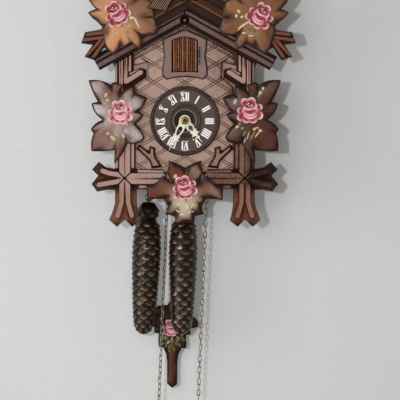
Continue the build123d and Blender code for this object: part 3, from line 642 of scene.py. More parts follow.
def net(outer, holes=(), segments=(), pitch=1.2, rims=(0.5, 1.2, 2.2)):
    """Triangles that fill an outline: its own points, those of its holes, the given segments,
    a row of points inside the edge at each distance in rims, and a honeycomb of points
    everywhere else."""
    rings = [turned_left(outer), *(turned_left(hole, False) for hole in holes)]
    low, high = outer.min(0), outer.max(0)
    x, z = np.meshgrid(np.arange(low[0], high[0] + pitch, pitch),
                       np.arange(low[1], high[1] + pitch, pitch * 0.866))
    x[1::2] += pitch / 2
    inner = np.stack([x.ravel(), z.ravel()], -1)
    shores = np.concatenate(rings)
    run = np.concatenate([np.roll(ring, -1, 0) for ring in rings]) - shores
    inner = inner[segment_distance(inner, shores, shores + run)[0]
                  > max([0, *rims]) + pitch * 0.4]
    square = np.stack([-run[:, 1], run[:, 0]], -1) / np.linalg.norm(run, axis=1)[:, None]
    for rim in rims:
        row = shores + run / 2 + rim * square
        reach = segment_distance(row, shores, shores + run)[0]
        inner = np.concatenate([inner, row[np.abs(reach - rim) < 0.02]])
    segments = as_lines(segments)
    if len(segments):
        inner = inner[line_distance(inner, segments) > pitch * 0.3]
    points = np.concatenate([shores, segments.reshape(-1, 2), inner])
    edges, base = [], 0
    for ring in rings:
        index = np.arange(len(ring))
        edges.append(np.stack([index, (index + 1) % len(ring)], -1) + base)
        base += len(ring)
    edges.append(np.arange(2 * len(segments)).reshape(-1, 2) + base)
    spots, _, faces, *_ = delaunay_2d_cdt([Vector(p) for p in points.tolist()],
                                          np.concatenate(edges).tolist(), [], 0, 1e-5)
    spots, faces = np.array([tuple(s) for s in spots]), np.array(faces)
    middle = spots[faces].mean(1)
    keep = within(middle, outer)
    for hole in holes:
        keep &= ~within(middle, hole)
    used, index = np.unique(faces[keep], return_inverse=True)
    return spots[used], index.reshape(-1, 3)


def board_mesh(name, spots, faces, height, back, values):
    """The lifted front, a flat back, and walls along every edge that only one triangle has."""
    count = len(spots)
    front = np.stack([spots[:, 0], -height, spots[:, 1] + dial_z], -1)
    rear = np.stack([spots[:, 0], np.full(count, -float(back)), spots[:, 1] + dial_z], -1)
    sides = np.concatenate([faces[:, [0, 1]], faces[:, [1, 2]], faces[:, [2, 0]]])
    code = sides[:, 0] * count + sides[:, 1]
    other = sides[:, 1] * count + sides[:, 0]
    shore = sides[~np.isin(code, other)]
    i, j = shore[:, 0], shore[:, 1]
    walls = np.stack([j, i, i + count, j + count], -1)
    every = faces.tolist() + (faces[:, ::-1] + count).tolist() + walls.tolist()
    values = {key: np.r_[numbers, np.ones(count) if key == "stain" else numbers]
              for key, numbers in values.items()}
    obj = make_mesh(name, np.concatenate([front, rear]), every, values=values)
    obj.data.set_sharp_from_angle(angle=0.7)
    return obj


def groove_depth(spots, lines, half_width, depth):
    """Depth of V grooves at each point: depth in the middle of a line, nothing at its lips."""
    return depth * np.clip(1 - line_distance(spots, lines) / half_width, 0, 1)


print("board helpers ready")

# %% [markdown]
# ## Leaves
# Five vine leaves are sawn from thin board and carved: each lobe is rounded along its own middle
# line, and the lobes meet in soft creases. The stain is sprayed darker towards the edge, and
# in patches a lighter colour is painted on as sheen. The points carry both as masks.

# %% Leaf outlines
side_leaf = [(88.0, 36.6, 0.10), (68.0, 32.8), (64.6, 35.3), (57.0, 32.4, 0.04), (59.0, 25.5),
             (50.0, 31.3), (45.6, 31.6), (45.6, 24.6, 0.06), (34.6, 20.2, 0.06), (42.4, 8.4),
             (38.2, 5.2, 0.10), (45.4, -2.8, 0.04), (36.8, -15.4), (39.0, -19.2, 0.10),
             (52.5, -20.8, 0.06), (64.6, -39.2), (64.0, -27.0, 0.03), (85.2, -28.0, 0.08),
             (83.4, -11.8), (86.0, -8.2, 0.10), (75.4, 0.4), (80.2, 4.8, 0.08), (85.2, 15.6),
             (79.6, 17.2, 0.03)]
side_veins = [((88, 36), (66, 10)), ((60, 31), (60, 10)), ((47, 29), (56, 12)),
              ((37, 19), (56, 8)), ((40, 4), (56, 4)), ((38, -16), (56, 0)),
              ((62, -30), (60, 0)), ((84, -26), (64, 0)), ((84, -8), (66, 3)),
              ((83, 14), (66, 8))]
bottom_half = [(0, -43.4, -0.04), (15.4, -36.6, 0.14), (17.0, -47.0, 0.05), (14.0, -54.6),
               (20.4, -49.9, 0.14), (35.2, -59.6), (34.6, -73.0, 0.03), (19.6, -71.8),
               (15.8, -78.0, 0.05), (17.4, -85.6), (9.4, -87.6), (8.6, -94.6, 0.06)]
bottom_veins = [((0, -96), (0, -66)), ((14, -84), (3, -66)), ((34, -66), (6, -62)),
                ((15, -40), (3, -56)), ((0, -45), (0, -58)), ((-14, -84), (-3, -66)),
                ((-34, -66), (-6, -62)), ((-15, -40), (-3, -56))]
crown_leaf = [(27.5, 84.0, 0.16), (31.5, 76.5), (44.0, 77.0), (41.8, 71.5, 0.08),
              (45.0, 64.0, 0.05), (52.0, 70.0), (58.0, 65.5), (61.5, 64.8, 0.04),
              (69.0, 59.2, 0.05), (74.5, 66.0, 0.04), (78.5, 84.5), (84.0, 90.0, 0.08),
              (91.0, 97.5), (84.0, 100.5, 0.06), (92.0, 112.0, 0.10), (90.0, 136.0, 0.06),
              (76.0, 126.0), (70.0, 142.0, 0.08), (60.0, 124.0), (47.0, 132.0, 0.08), (44.0, 112.0),
              (33.0, 108.0, 0.04), (31.0, 93.0, -0.03)]
crown_veins = [((69, 61), (63, 90)), ((46, 67), (58, 88)), ((32, 79), (56, 92)),
               ((89, 97), (68, 96)), ((91, 133), (68, 104)), ((70, 139), (64, 106)),
               ((48, 130), (60, 104)), ((33, 105), (56, 98)), ((53, 71), (60, 88))]
crown_x = 3.5               # the crown stands this far right of the ridge
leaf_thickness = 5.0
print("outlines of", len(side_leaf), len(bottom_half), "and", len(crown_leaf), "corners")

# %% [markdown]
# A carver rounds each lobe with a gouge and runs a crease in from each notch. The formula does the
# same with the distances to the edge, to the lobes' middle lines and to the creases.


# %% Carved leaves
def whole(half):
    """A symmetric outline from its right half, which starts on the middle line."""
    return half + flipped(half)[:-1]


leaf_surfaces = {}


def creases(outline, centre):
    """A line from every notch of the outline part of the way to the leaf's centre."""
    corners = np.array([p[:2] for p in outline], float)
    before, after = corners - np.roll(corners, 1, 0), np.roll(corners, -1, 0) - corners
    turn = before[:, 0] * after[:, 1] - before[:, 1] * after[:, 0]
    area = np.sum(corners[:, 0] * after[:, 1] - corners[:, 1] * after[:, 0])
    notch = corners[turn * np.sign(area) < 0]
    return np.stack([notch, notch + 0.42 * (np.array(centre) - notch)], 1)


def leaf(name, outline, veins, back, sheen_spots, centre, node, wood, shade, body="case"):
    """Height: the sawn edge stands at half the thickness and rises as 1 - exp(-d / 3) with the
    distance d to the edge, each lobe falls away as the square of the distance to its middle line,
    and a crease runs in from every notch. Stain is 1 at the edge and fades over about shade mm.
    Each spot is x, z, radius and strength: a patch of painted sheen."""
    shore = trace(outline)
    spots, faces = net(shore, pitch=1.0)
    edge = edge_distance(spots, shore)
    rise = 1 - np.exp(-edge / 3.0)
    fall = np.clip(line_distance(spots, veins) / 7.0, 0, 1) ** 2 * np.clip(edge / 5.0, 0, 1)
    height = back + leaf_thickness * (0.46 + 0.54 * rise - 0.22 * fall)
    wave = np.sin(spots[:, 0] * 0.31 + 1.0) * np.sin(spots[:, 1] * 0.27 + 2.0)
    notches = creases(outline, centre)
    reach, _, along = segment_distance(spots, notches[:, 0], notches[:, 1])
    crease = np.exp(-(reach / 0.8) ** 2) * (1 - along) * np.clip(edge / 1.5, 0, 1)
    height -= 1.5 * crease
    dark = (0.9 * np.exp(-reach / 1.3) * (1 - along) + 0.34 * fall + 0.14 * wave
            + 1.3 * np.exp(-edge / (shade + 0.45 * shade * wave)))
    tint_and_sheen = np.zeros(len(spots))
    for x, z, radius, strength in sheen_spots:
        tint_and_sheen = np.maximum(tint_and_sheen, strength * np.exp(-((spots[:, 0] - x) ** 2
                                                    + (spots[:, 1] - z) ** 2) / radius ** 2))
    obj = board_mesh(name, spots, faces, height, back,
                     {"stain": np.clip(dark, 0, 1), "tint_and_sheen": tint_and_sheen})
    leaf_surfaces[node] = spots, height
    seat(obj, body, (node,), wood)


# each leaf's listed spots are patches of painted sheen, in the tint of its wood
leaf("leaf_carving_left", flipped(side_leaf), np.array(side_veins) * (-1, 1), 101,
     [(-80, 7, 13, .95), (-82, 30, 10, .65), (-48, 13, 10, .8), (-46, -14, 10, .85),
      (-70, 2, 10, .65), (-60, -8, 9, .5), (-70, -20, 9, .25)], (-60, 4), "leaf_left",
     leaf_wood, 1.5)
leaf("leaf_carving_right", side_leaf, side_veins, 101,
     [(45, 18, 8, .55), (50, 2, 6, .3), (80, 28, 9, .2), (48, -13, 7, .3)], (60, 4),
     "leaf_right", dim_leaf_wood, 2.1)
leaf("leaf_carving_bottom", whole(bottom_half), bottom_veins, 101,
     [(0, -77, 15, 1), (28, -64, 10, .28), (13, -48, 8, .3)], (0, -62), "leaf_bottom",
     low_leaf_wood, 2.9)
leaf("crown_leaf_carving_left", moved(flipped(crown_leaf), crown_x, 0),
     np.array(crown_veins) * (-1, 1) + (crown_x, 0), 113, [(-62, 76, 21, 1), (-72, 100, 18, .9)],
     (-58, 94), "crown_leaf_left", crown_leaf_wood, 1.5)
leaf("crown_leaf_carving_right", moved(crown_leaf, crown_x, 0),
     np.array(crown_veins) + (crown_x, 0), 113,
     [(60, 78, 13, .5), (80, 100, 12, .3), (48, 106, 12, .4)], (62, 92), "crown_leaf_right",
     warm_leaf_wood, 1.8)
print("leaves:", sorted(leaf_surfaces))

# %% [markdown]
# ## Forked crosses, twigs and brackets
# Beside and under the side leaves stands a cross of beams. A groove splits each beam lengthwise,
# wider grooves run out from the middle between the beams, and the edges are cut away at a
# slope, so the pale tops are narrow strips in dark wood.

# %% Woods, outlines and strips
cross_wood = stained("cross_wood", (170, 139, 130), (44, 20, 13), 1.1, 0.2, 0.0, (150, 95, 68))
dim_cross_wood = stained("dim_cross_wood", (146, 105, 90), (37, 18, 12), 1.1, 0.2, 0.0,
                         (134, 76, 52))
twig_wood = stained("twig_wood", (154, 110, 99), (46, 22, 15))
bracket_wood = stained("bracket_wood", (178, 143, 131), (50, 27, 19), grain=1.2)
cross_x, cross_z = 55.0, -52.6          # where the beams cross
foot_z = -58.0              # the feet begin here
half_groove = 0.85          # half the width of a V groove
rim_width = 0.7             # of the rounding along a sawn edge
cross = [(9.0, 8.5), (17.5, 10.0), (24.0, 15.0), (30.3, 8.0), (24.6, 2.2), (30.8, -5.4),
         (25.6, -12.4), (16.0, -10.6), (9.0, -11.0), (9.2, -22.0, 0.03), (14.6, -38.4),
         (7.4, -44.8), (0.2, -37.8), (-6.4, -44.8), (-13.6, -39.2, 0.03), (-10.6, -22.0),
         (-10.6, -9.6), (-33.0, -9.6), (-38.0, -2.0), (-38.0, 5.5), (-33.5, 8.2), (-9.2, 8.2),
         (-9.2, 62.0), (9.0, 62.0)]
broad_strips = [((-2.85, 1.5), (-2.85, 60)), ((2.85, 1.5), (2.85, 60)),
                ((-1.5, 2.3), (-35, 2.3)), ((-1.5, -3.3), (-35, -3.3)),
                ((1.5, 2.7), (14, 4.3)), ((14, 4.3), (20.5, 6.6)),
                ((1.5, -2.8), (14, -4.4)), ((14, -4.4), (23.5, -6.2)),
                ((2.85, -1.5), (2.9, -22)), ((2.9, -22), (6.6, -34.8)),
                ((-2.85, -1.5), (-3.1, -22)), ((-3.1, -22), (-6.6, -34.8))]
miters = [((0, 0), (a, b)) for a, b in ((8.2, 7.9), (-8.2, 7.5), (-8.2, -8.4), (8.2, -8.2))]
cross_rim = ((-95, 0.85), (-90, 0.5), (-68, 0.5), (-62, 0.82))
narrow_strips = [((-7.4, 10), (-7.4, 60)), ((7.4, 10), (7.4, 60)), ((-13, 6.2), (-35, 6.2)),
                 ((-14, -8.0), (-35, -8.0))]
twig = [(20.5, -42.5), (26.5, -33.0, 0.04), (27.0, -24.6), (32.2, -23.0), (33.6, -27.6),
        (41.5, -21.8), (44.8, -25.4), (33.2, -36.5, 0.04), (30.6, -43.8)]
bracket = [(35.5, 40.5), (46.8, 32.8), (47.4, 20.0), (63.9, 20.0), (63.9, 53.2), (47.3, 62.4),
           (47.3, 45.8), (41.5, 49.0), (35.5, 47.5)]
bracket_strips = [((58.9, 22, 58.9, 56), 1.8), ((54.4, 37, 54.4, 58.6), 1.3),
                  ((54.0, 36.2, 40.6, 44.6), 2.0), ((50.6, 46.5, 50.6, 60), 1.1),
                  ((50.4, 43.2, 43.0, 47.2), 0.6), ((62.9, 22, 62.9, 53), 0.5)]
print("a cross has", len(cross), "corners, a twig", len(twig), "and a bracket", len(bracket))

# %% [markdown]
# Two formulas shape these boards. A beam is flat on top and slopes down to its sawn edges. A
# ridged board stands high only in its strips, and V grooves can be cut across it.


# %% Crosses, twigs and brackets
def beams(name, outline, top, slope, nodes, wood, pitch, back=94.05, holes=(), edge_drop=0.62):
    """Height: flat at top, falling in a slope that starts slope millimetres from the edge and
    drops by edge_drop of the thickness, 6 mm at most."""
    shore = trace(outline, 1.4)
    holes = [trace(hole, 1.4) for hole in holes]
    spots, faces = net(shore, holes, (), pitch, (slope * 0.5, slope, slope * 1.25))
    edge = edge_distance(spots, shore)
    bevel = edge_drop * np.clip(1 - edge / slope, 0, 1)
    height = top - np.minimum(bevel * min(top - back, 6.0), top - back - 0.4)
    obj = board_mesh(name, spots, faces, height, back,
                     {"stain": np.clip(1.2 * np.clip(1.15 - edge / slope, 0, 1), 0, 1)})
    seat(obj, "case", nodes, wood)


def placed(lines, side):
    """Lines measured from a cross's middle, as they lie on the cross of that side."""
    return (np.array(lines) + (cross_x, cross_z)) * (side, 1)


def ridged(name, outline, strips, back, top, nodes, wood, pitch=1.1, deepest=3.4,
           cuts=(), rim=((0, 1),), darkening=0.0):
    """Height: flat at top within a strip's half width, falling at 50 degrees outside it, to
    deepest at most, and at the sawn edge. strips is a list of (lines, half width), and cuts are
    V grooves 1.7 mm wide and 1.5 mm deep. Stain is 1 beside a strip, and farther out it is what
    rim gives for the height, as (z, stain) pairs. Darkening is added to the stain above the feet,
    all of it on the outer arms and half elsewhere."""
    shore = trace(outline, 1.4)
    segments = [groove_lines(lines, half + lip) for lines, half in strips for lip in (0, 0.55)]
    if len(cuts):
        segments.append(groove_lines(cuts, half_groove))
    spots, faces = net(shore, (), np.concatenate(segments), pitch, (rim_width,))
    cut = groove_depth(spots, cuts, half_groove, 1.0) if len(cuts) else 0.0
    reach = [line_distance(spots, lines) - half for lines, half in strips]
    beyond = np.clip(np.minimum.reduce(reach), 0, 10)
    edge = edge_distance(spots, shore)
    height = (top - 1.15 * np.clip(beyond, 0, deepest) - 1.5 * cut
              - 0.8 * np.clip(1 - edge / rim_width, 0, 1))
    farther = np.interp(spots[:, 1], *np.transpose(rim))
    beside_strip = np.interp(beyond, [0, 0.35], [0, 1])
    beside_strip += (farther - 1) * np.interp(beyond, [0.75, 1.4], [0, 1])
    above_feet = np.interp(spots[:, 1], [foot_z - 8, foot_z], [0, 1])
    outer_arms = np.interp(np.abs(spots[:, 0]), [cross_x, cross_x + 6], [0.5, 1])
    beside_strip += darkening * above_feet * outer_arms
    stain_mask = np.clip(np.maximum(np.maximum(beside_strip, 1.3 * cut), 1.1 - edge / rim_width), 0, 1)
    foot = 0.45 * np.clip((foot_z - spots[:, 1]) / 8, 0, 1)
    obj = board_mesh(name, spots, faces, height, back,
                     {"stain": stain_mask,
                      "tint_and_sheen": np.maximum(np.interp(beyond, [0.7, 1.3], [0, 1]), foot)})
    seat(obj, "case", nodes, wood)


for side, name, wood, darkening in ((-1, "left", cross_wood, 0.05), (1, "right", dim_cross_wood, 0.9)):
    ridged("cross_carving_" + name, on_side(moved(cross, cross_x, cross_z), side),
           [(placed(broad_strips, side), 1.85), (placed(narrow_strips, side), 0.9)], 89.05, 101,
           ("cross_" + name,), wood, cuts=placed(miters, side), rim=cross_rim, darkening=darkening)
    beams("twig_carving_" + name, on_side(twig, side), 100, 2.0, ("twigs",), twig_wood, 0.9)
    ridged("bracket_carving_" + name, on_side(bracket, side),
           [(np.array(line) * (side, 1, side, 1), half) for line, half in bracket_strips],
           89.05, 96, ("frame_brackets",), bracket_wood, 0.9)
print("crosses, twigs and brackets carved")


# %% [markdown]
# ## Scored front plate
# The plate behind the dial is scored with a lattice: pairs of fine V cuts 2 mm apart run up and
# down at about the roof's slope and cross every 28 mm. The wood between the cuts is left tan, and
# the diamonds are stippled with a punch.

# %% Lattice
roof_angle = math.radians(29.0)
ridge_z = 89.0              # where the undersides of the two roof boards meet
plate_edge = 46.5           # half the plate's width at the eaves


def under_roof(x, below=0.0):
    """Height of the roof's underside at x, less a distance measured square to it."""
    return ridge_z - abs(x) * math.tan(roof_angle) - below / math.cos(roof_angle)


plate = doubled([(0, under_roof(0, 1.2)), (plate_edge, under_roof(plate_edge, 1.2)),
                 (plate_edge, 51.0), (35.0, 54.5), (33.5, 41.0), (44.5, 31.5), (45.5, 24.0),
                 (45.5, -62.5)])


def doorway(grow):
    """A square opening with a shallow arch, wider by grow all round."""
    half, low, spring = 11.75 + grow, 45.3 - grow, 73.9
    rise = (3.4 + grow) / (2 * half)
    return [(-half, low), (half, low), (half, spring, rise), (-half, spring)]


def round_hole(radius):
    turn = circle(24)
    return np.stack([radius * np.cos(turn), radius * np.sin(turn)], -1)


diamond_width, diamond_height = 28.5, 17.0
cut_run = 60.0              # sideways from a cut's middle to its end
cut_rise = cut_run * diamond_height / diamond_width
lattice = as_lines([(-cut_run, row - side * cut_rise, cut_run, row + side * cut_rise)
                    for side in (-1, 1) for row in 35.5 + diamond_height * np.arange(-8, 8)])
eave = [(0, under_roof(0, below), side * plate_edge, under_roof(plate_edge, below))
        for side in (-1, 1) for below in (2.6, 6.0)]
print("lattice of", len(lattice), "lines")

# %% [markdown]
# The lines are longer than the plate, so they are first cut off at its edge. Each of them then
# becomes a V groove in the formula for the plate's height.


# %% Scored plate
def cut_to(lines, polygon, samples=260):
    """The parts of long lines that lie inside an outline, found by sampling each line."""
    t = np.linspace(0, 1, samples)[:, None]
    kept = []
    for start, end in as_lines(lines):
        spots = start + (end - start) * t
        inside = within(spots, polygon) & (edge_distance(spots, polygon) > 0.3)
        change = np.flatnonzero(np.diff(np.r_[0, inside.astype(int), 0]))
        kept += [(*spots[a], *spots[b - 1]) for a, b in change.reshape(-1, 2) if b - a > 3]
    return as_lines(kept)


shore = trace(plate, 2.0)
half_cut = 0.42             # half the width of a cut
pairs = np.concatenate([cut_to(shifted(lattice, shift), shore) for shift in (-1.05, 1.05)])
eave_cuts = cut_to(eave, shore)
cuts = np.concatenate([pairs, eave_cuts])
spots, faces = net(shore, (trace(doorway(0.5), 2.0), round_hole(4.2)), groove_lines(cuts, half_cut),
                   2.0, (0.8,))
edge = edge_distance(spots, shore)
height = 94.0 - groove_depth(spots, cuts, half_cut, 0.4) - 0.5 * np.clip(1 - edge / 0.8, 0, 1)
cut = np.maximum(groove_depth(spots, pairs, half_cut, 0.4),
                 groove_depth(spots, eave_cuts, half_cut, 0.95))
# painted shade: the plate darkens towards its right side and towards the top, under the roof
painted_shade_right_top = 0.5 * np.clip(spots[:, 0] / 46, 0, 1) * np.clip(spots[:, 1] / 40 + 0.6, 0.3, 1)
between = (line_distance(spots, lattice) < 1.2) & (line_distance(spots, eave_cuts) > 0.8)
obj = board_mesh("scored_plate", spots, faces, height, 89.0,
                 {"stain": np.clip(np.maximum(cut, 0.8 * np.exp(-edge / 0.8)) + painted_shade_right_top, 0, 1),
                  "tint_and_sheen": between})
plate_wood = stained("plate_wood", (176, 145, 134), (60, 31, 21), tint=(170, 140, 116))
seat(obj, "case", ("front_plate",), plate_wood)
print("plate has", len(faces), "triangles and", len(cuts), "cuts")

# %% Door frame
frame_wood = stained("frame_wood", (134, 111, 105), (46, 19, 13), grain=0.8)
shield = [(0, 84.3), (-20.5, 75.6, 0.03), (-18.9, 59.0, 0.04), (-21.0, 42.0), (-17.0, 37.8, -0.04),
          (0, 40.2, -0.04), (17.0, 37.8), (21.0, 42.0, 0.04), (18.9, 59.0, 0.03), (20.5, 75.6)]
beams("door_frame_carving", shield, 95.6, 1.8, ("door_frame",), frame_wood, 2.0, 94.02,
      [doorway(0.9)], 0.3)
print("door frame carved")

# %% [markdown]
# ## Dial
# The dial is a turned disc of dark wood: a rounded rim, a flat for the numerals, and a moulded
# step about its middle. A turned shape is a profile of radius and height carried round a circle.


# %% Dial
def turned(name, profile, steps, values):
    """A profile of (radius, distance from the wall) carried round the dial's axis."""
    profile = np.array(profile, float)
    r, depth, a = profile[:, :1], profile[:, 1:], circle(steps)
    points = np.stack([r * np.cos(a), 0 * a - depth, dial_z + r * np.sin(a)], -1)
    obj = make_mesh(name, points, quads(len(profile), steps, False, True), values={
        key: np.repeat(numbers, steps) for key, numbers in values.items()})
    obj.data.set_sharp_from_angle(angle=0.8)
    return obj


dial_profile = [(4.2, 94.02), (4.2, 98.2), (9.8, 98.2), (10.3, 98.6), (10.9, 98.6), (11.3, 98.1),
                (13.0, 98.0), (13.8, 98.4), (14.6, 98.0), (16.1, 97.6), (16.5, 97.95), (17.0, 97.95),
                (17.3, 97.5), (28.6, 97.5), (28.9, 97.9), (29.4, 98.45), (30.2, 98.68), (31.0, 98.55),
                (31.6, 98.0), (31.9, 97.2), (31.9, 94.02), (4.2, 94.02)]
darkened = [.9, .9, .8, 0, 0, .6, .5, .5, .6, .4, .2, .2, .1, 0, .6, .5, .5, .6, .9, 1, 1, 1]
# painted highlight: the two beads of the moulding are painted paler along their tops
painted_bead_highlight = [0, 0, 0, .6, .6, 0, 0, 0, 0, 0, .1, .1, 0, 0, 0, 0, 0, 0, 0, 0, 0, 0]
seat(turned("dial_turning", dial_profile, 96, {"stain": darkened, "tint_and_sheen": painted_bead_highlight}), "case",
     ("dial",), dial_wood)
print("dial turned from", len(dial_profile), "points of its profile")

# %% [markdown]
# The numerals are cream plastic mouldings that lie on the dial's flat. Each is made of straight
# strokes, broad or fine, between two serifs, and stands upright towards the dial's rim.

# %% Numerals
numeral_height, numeral_radius = 8.6, 22.6
numeral_back, numeral_thickness = 97.45, 0.5
numeral_drop = 0.4          # how far the ring of numerals sits below the dial's middle
# each stroke is the x of its two ends, 1 where the first end is the upper one, and its width
letters = {"I": ([(0.9, 0.9, -1, 1.3)], 1.95),
           "V": ([(0.6, 2.3, 1, 1.42), (4.0, 2.3, 1, 0.7)], 4.6),
           "X": ([(0.5, 3.9, 1, 1.42), (4.0, 0.4, 1, 0.7)], 4.5)}


def numeral(text, hour):
    """The strokes of a Roman numeral and its two serifs as four-cornered slabs, turned about the
    dial's middle by 30 degrees an hour."""
    high = numeral_height / 2
    strokes, at_x = [], 0.0
    for letter in text:
        parts, advance = letters[letter]
        strokes += [(at_x + x0, at_x + x1, high * first, -high * first, width)
                    for x0, x1, first, width in parts]
        at_x += advance
    strokes = np.array(strokes)
    strokes[:, :2] -= at_x / 2
    slabs = [((x0 - w / 2, y0), (x0 + w / 2, y0), (x1 + w / 2, y1), (x1 - w / 2, y1))
             for x0, x1, y0, y1, w in strokes]
    x0, x1 = strokes[:, :2].min() - 0.5, strokes[:, :2].max() + 0.5
    slabs += [((x0, y - 0.3), (x1, y - 0.3), (x1, y + 0.3), (x0, y + 0.3))
              for y in (0.25 - high, high - 0.25)]
    x, z = np.moveaxis(np.array(slabs) + (0, numeral_radius), -1, 0)
    return np.stack(spun(x, z, -math.radians(30 * hour)), -1)


slabs = np.concatenate([numeral(text, hour) for hour, text in enumerate(
    ("XII", "I", "II", "III", "IIII", "V", "VI", "VII", "VIII", "IX", "X", "XI"))])
base = np.stack([slabs[..., 0], np.full(slabs.shape[:2], -numeral_back),
                 slabs[..., 1] + dial_z - numeral_drop], -1)
top = base - (0, numeral_thickness, 0)
area = np.cross(slabs[:, 1] - slabs[:, 0], slabs[:, 2] - slabs[:, 1])
top[area < 0], base[area < 0] = top[area < 0][:, ::-1], base[area < 0][:, ::-1]
points = np.concatenate([top, base], 1)
shape = np.array([[0, 1, 2, 3], [7, 6, 5, 4], [1, 0, 4, 5], [2, 1, 5, 6], [3, 2, 6, 7],
                  [0, 3, 7, 4]])
numerals = make_mesh("numeral_mouldings", points, copies(shape, 8, len(slabs)), smooth=False)
cream, tree, shader = material("cream_plastic")
tone = ramp(noise(tree, 300.0), .35, .7)
tone = blend_colours(tone, colour(232, 228, 210), colour(214, 206, 180))
plug(shader, {"Base Color": tone, "Roughness": 0.32, "Coat Weight": 0.2})
white, tree, shader = material("numeral_plastic")
plug(shader, {"Base Color": colour(250, 246, 240), "Roughness": 0.35, "Coat Weight": 0.2})
seat(numerals, "case", ("dial_numerals",), white)
print("numerals of", len(slabs), "strokes and serifs")

# %% [markdown]
# The hands are moulded in cream plastic and pierced: from the round eye two arms bow out and
# meet in a small star, and a narrow point runs on from it.

# %% Hands


def hand_sheet(length):
    """A hand that points up, as its outline and the slot between its arms."""
    star = 0.58 * length
    half = [(0, length), (0.65, length * 0.80), (2.0, length * 0.74), (0.8, length * 0.70),
            (1.5, star + 1.6), (4.4, star + 0.9), (2.6, star - 0.9), (3.5, star - 2.6),
            (2.7, star - 4.2), (3.7, star * 0.52), (3.4, 5.2), (4.6, 3.0)]
    eye = [(5.2 * math.sin(t), 5.2 * math.cos(t)) for t in np.linspace(1.0, math.pi, 12)]
    slot = [(0, 6.2), (1.7, 7.4), (2.0, star * 0.56), (1.1, star - 4.4), (0, star - 3.0)]
    return doubled(half + eye, False), doubled(slot, False)


def hand(name, length, clockwise, back, body, node, bore):
    turn = -math.radians(clockwise)
    flat = [np.stack(spun(*trace(part, 1.0).T, turn), -1) for part in hand_sheet(length)]
    flat.append(round_hole(bore))
    spots, faces = net(flat[0], flat[1:], pitch=0.8, rims=(0.3,))
    shores = np.concatenate(flat)
    ahead = np.concatenate([np.roll(part, -1, 0) for part in flat])
    edge = segment_distance(spots, shores, ahead)[0]
    obj = board_mesh(name, spots, faces, back + 0.35 + 0.45 * np.clip(edge / 0.3, 0, 1), back, {})
    seat(obj, body, (node,), cream)


hand("hour_hand_moulding", 26.2, 141.0, 99.2, "hour", "hour_hand", 2.45)
hand("minute_hand_moulding", 32.0, 208.0, 101.2, "minute", "minute_hand", 1.5)
nut_brass, tree, shader = material("nut_brass")
# painted shade: the stain mask paints the nut dark brown in its middle recess and on its outer side
tone = blend_colours(mask(tree, "stain"), colour(196, 160, 96), colour(48, 34, 22))
plug(shader, {"Base Color": tone, "Metallic": 0.8, "Roughness": 0.34})
nut = turned("hand_nut_turning", [(0.2, 102.7), (1.2, 102.7), (1.6, 103.8), (2.7, 103.8),
                                  (3.2, 103.3), (3.8, 103.1), (3.9, 102.0), (0.2, 102.0)],
             40, {"stain": [1, 1, .3, 0, .2, .5, 1, 1]})
seat(nut, "minute", ("hand_nut",), nut_brass)
print("hands moulded, nut turned")

# %% [markdown]
# ## Roses and painted dabs
# A rose is a low stack of petals. Each petal is an ellipse that rises towards its outer rim and
# rounds over there: crimson in the fold, pink on the way up and white along the rim. The small
# flowers and grass strokes round it are dabs of thick paint, each a low dome on the leaf.

# %% Petal and dab shapes


def domes(name, table, shares, lift, extra, steps):
    """Ellipses stacked in front of the wall. Each row of table is x, z, half length, half
    width, turn and outward side (degrees), back and front (mm from the wall). A point at share
    u of the radius lies at front + lift(u, v), where v = u (1 + cos(angle - outward)) / 2."""
    x, z, long, wide, turn, out, back, front = np.transpose(table)[:, :, None, None]
    a = circle(steps)
    u = np.array(shares)[:, None] + 0 * a
    turn, out = np.radians(turn), np.radians(out)
    v = u * (1 + np.cos(a + turn - out)) / 2
    px, pz = spun(long * u * np.cos(a), wide * u * np.sin(a), turn)
    y = -(front + lift(u, v)) + 0 * px
    y[:, -1:] = -back + 0 * a
    count = u.size
    faces = copies(quads(len(shares), steps, False, True)[:, ::-1], count, len(table))
    values = {"rim": v.ravel(), **{key: np.repeat(numbers, count) for key, numbers in extra.items()}}
    return make_mesh(name, np.stack([x + px, y, z + dial_z + pz], -1), faces, values=values)


def petal_lift(u, v):
    return 1.5 * v + 0.35 * u - 0.9 * np.clip((u - 0.86) / 0.14, 0, 1) ** 2


def dab_lift(u, v):
    return 0.55 * np.sqrt(np.clip(1 - u * u, 0, 1))


# x, z, half length, half width, turn, outward side, level
petals = [(0.4, -2.2, 7.6, 7.2, 0, 90, 0.0),
          (-8.2, -0.8, 3.1, 3.0, 0, 170, 0.35), (-8.1, -7.0, 3.4, 3.3, 0, 215, 0.5),
          (-2.8, -9.2, 3.6, 2.9, 0, 255, 0.45), (2.9, -9.4, 3.8, 2.9, 0, 285, 0.6),
          (8.4, -5.2, 3.7, 3.9, 0, 335, 0.5), (8.5, 2.2, 3.0, 3.0, 0, 15, 0.4),
          (-4.2, 6.2, 3.7, 4.2, 15, 115, 0.8), (1.4, 7.0, 4.2, 4.1, -10, 78, 0.9),
          (0.6, -4.2, 6.5, 4.4, 0, 268, 1.0), (0.4, -2.4, 5.7, 3.5, 0, 268, 1.6),
          (3.4, 3.2, 3.4, 3.4, 0, 335, 1.5), (-0.8, 2.8, 5.2, 3.7, 0, 262, 1.9)]
# x, z, turn, size, back, front, deep
rose_centres = {"rose_left": (-58.9, 7.9, 0, 0.96, 104.0, 106.2, 0.0),
                "rose_right": (59.3, 9.7, 0, 1.02, 104.0, 106.2, 0.12),
                "rose_bottom": (-0.2, -60.8, 8, 0.95, 104.0, 106.2, 0.12),
                "rose_crown_left": (-61.6, 96.6, 30, 0.98, 116.0, 118.2, 0.2),
                "rose_crown_right": (68.8, 94.4, -35, 1.01, 116.0, 118.2, 0.2)}
shares = (0.01, 0.3, 0.55, 0.75, 0.88, 0.95, 1.0, 1.0)


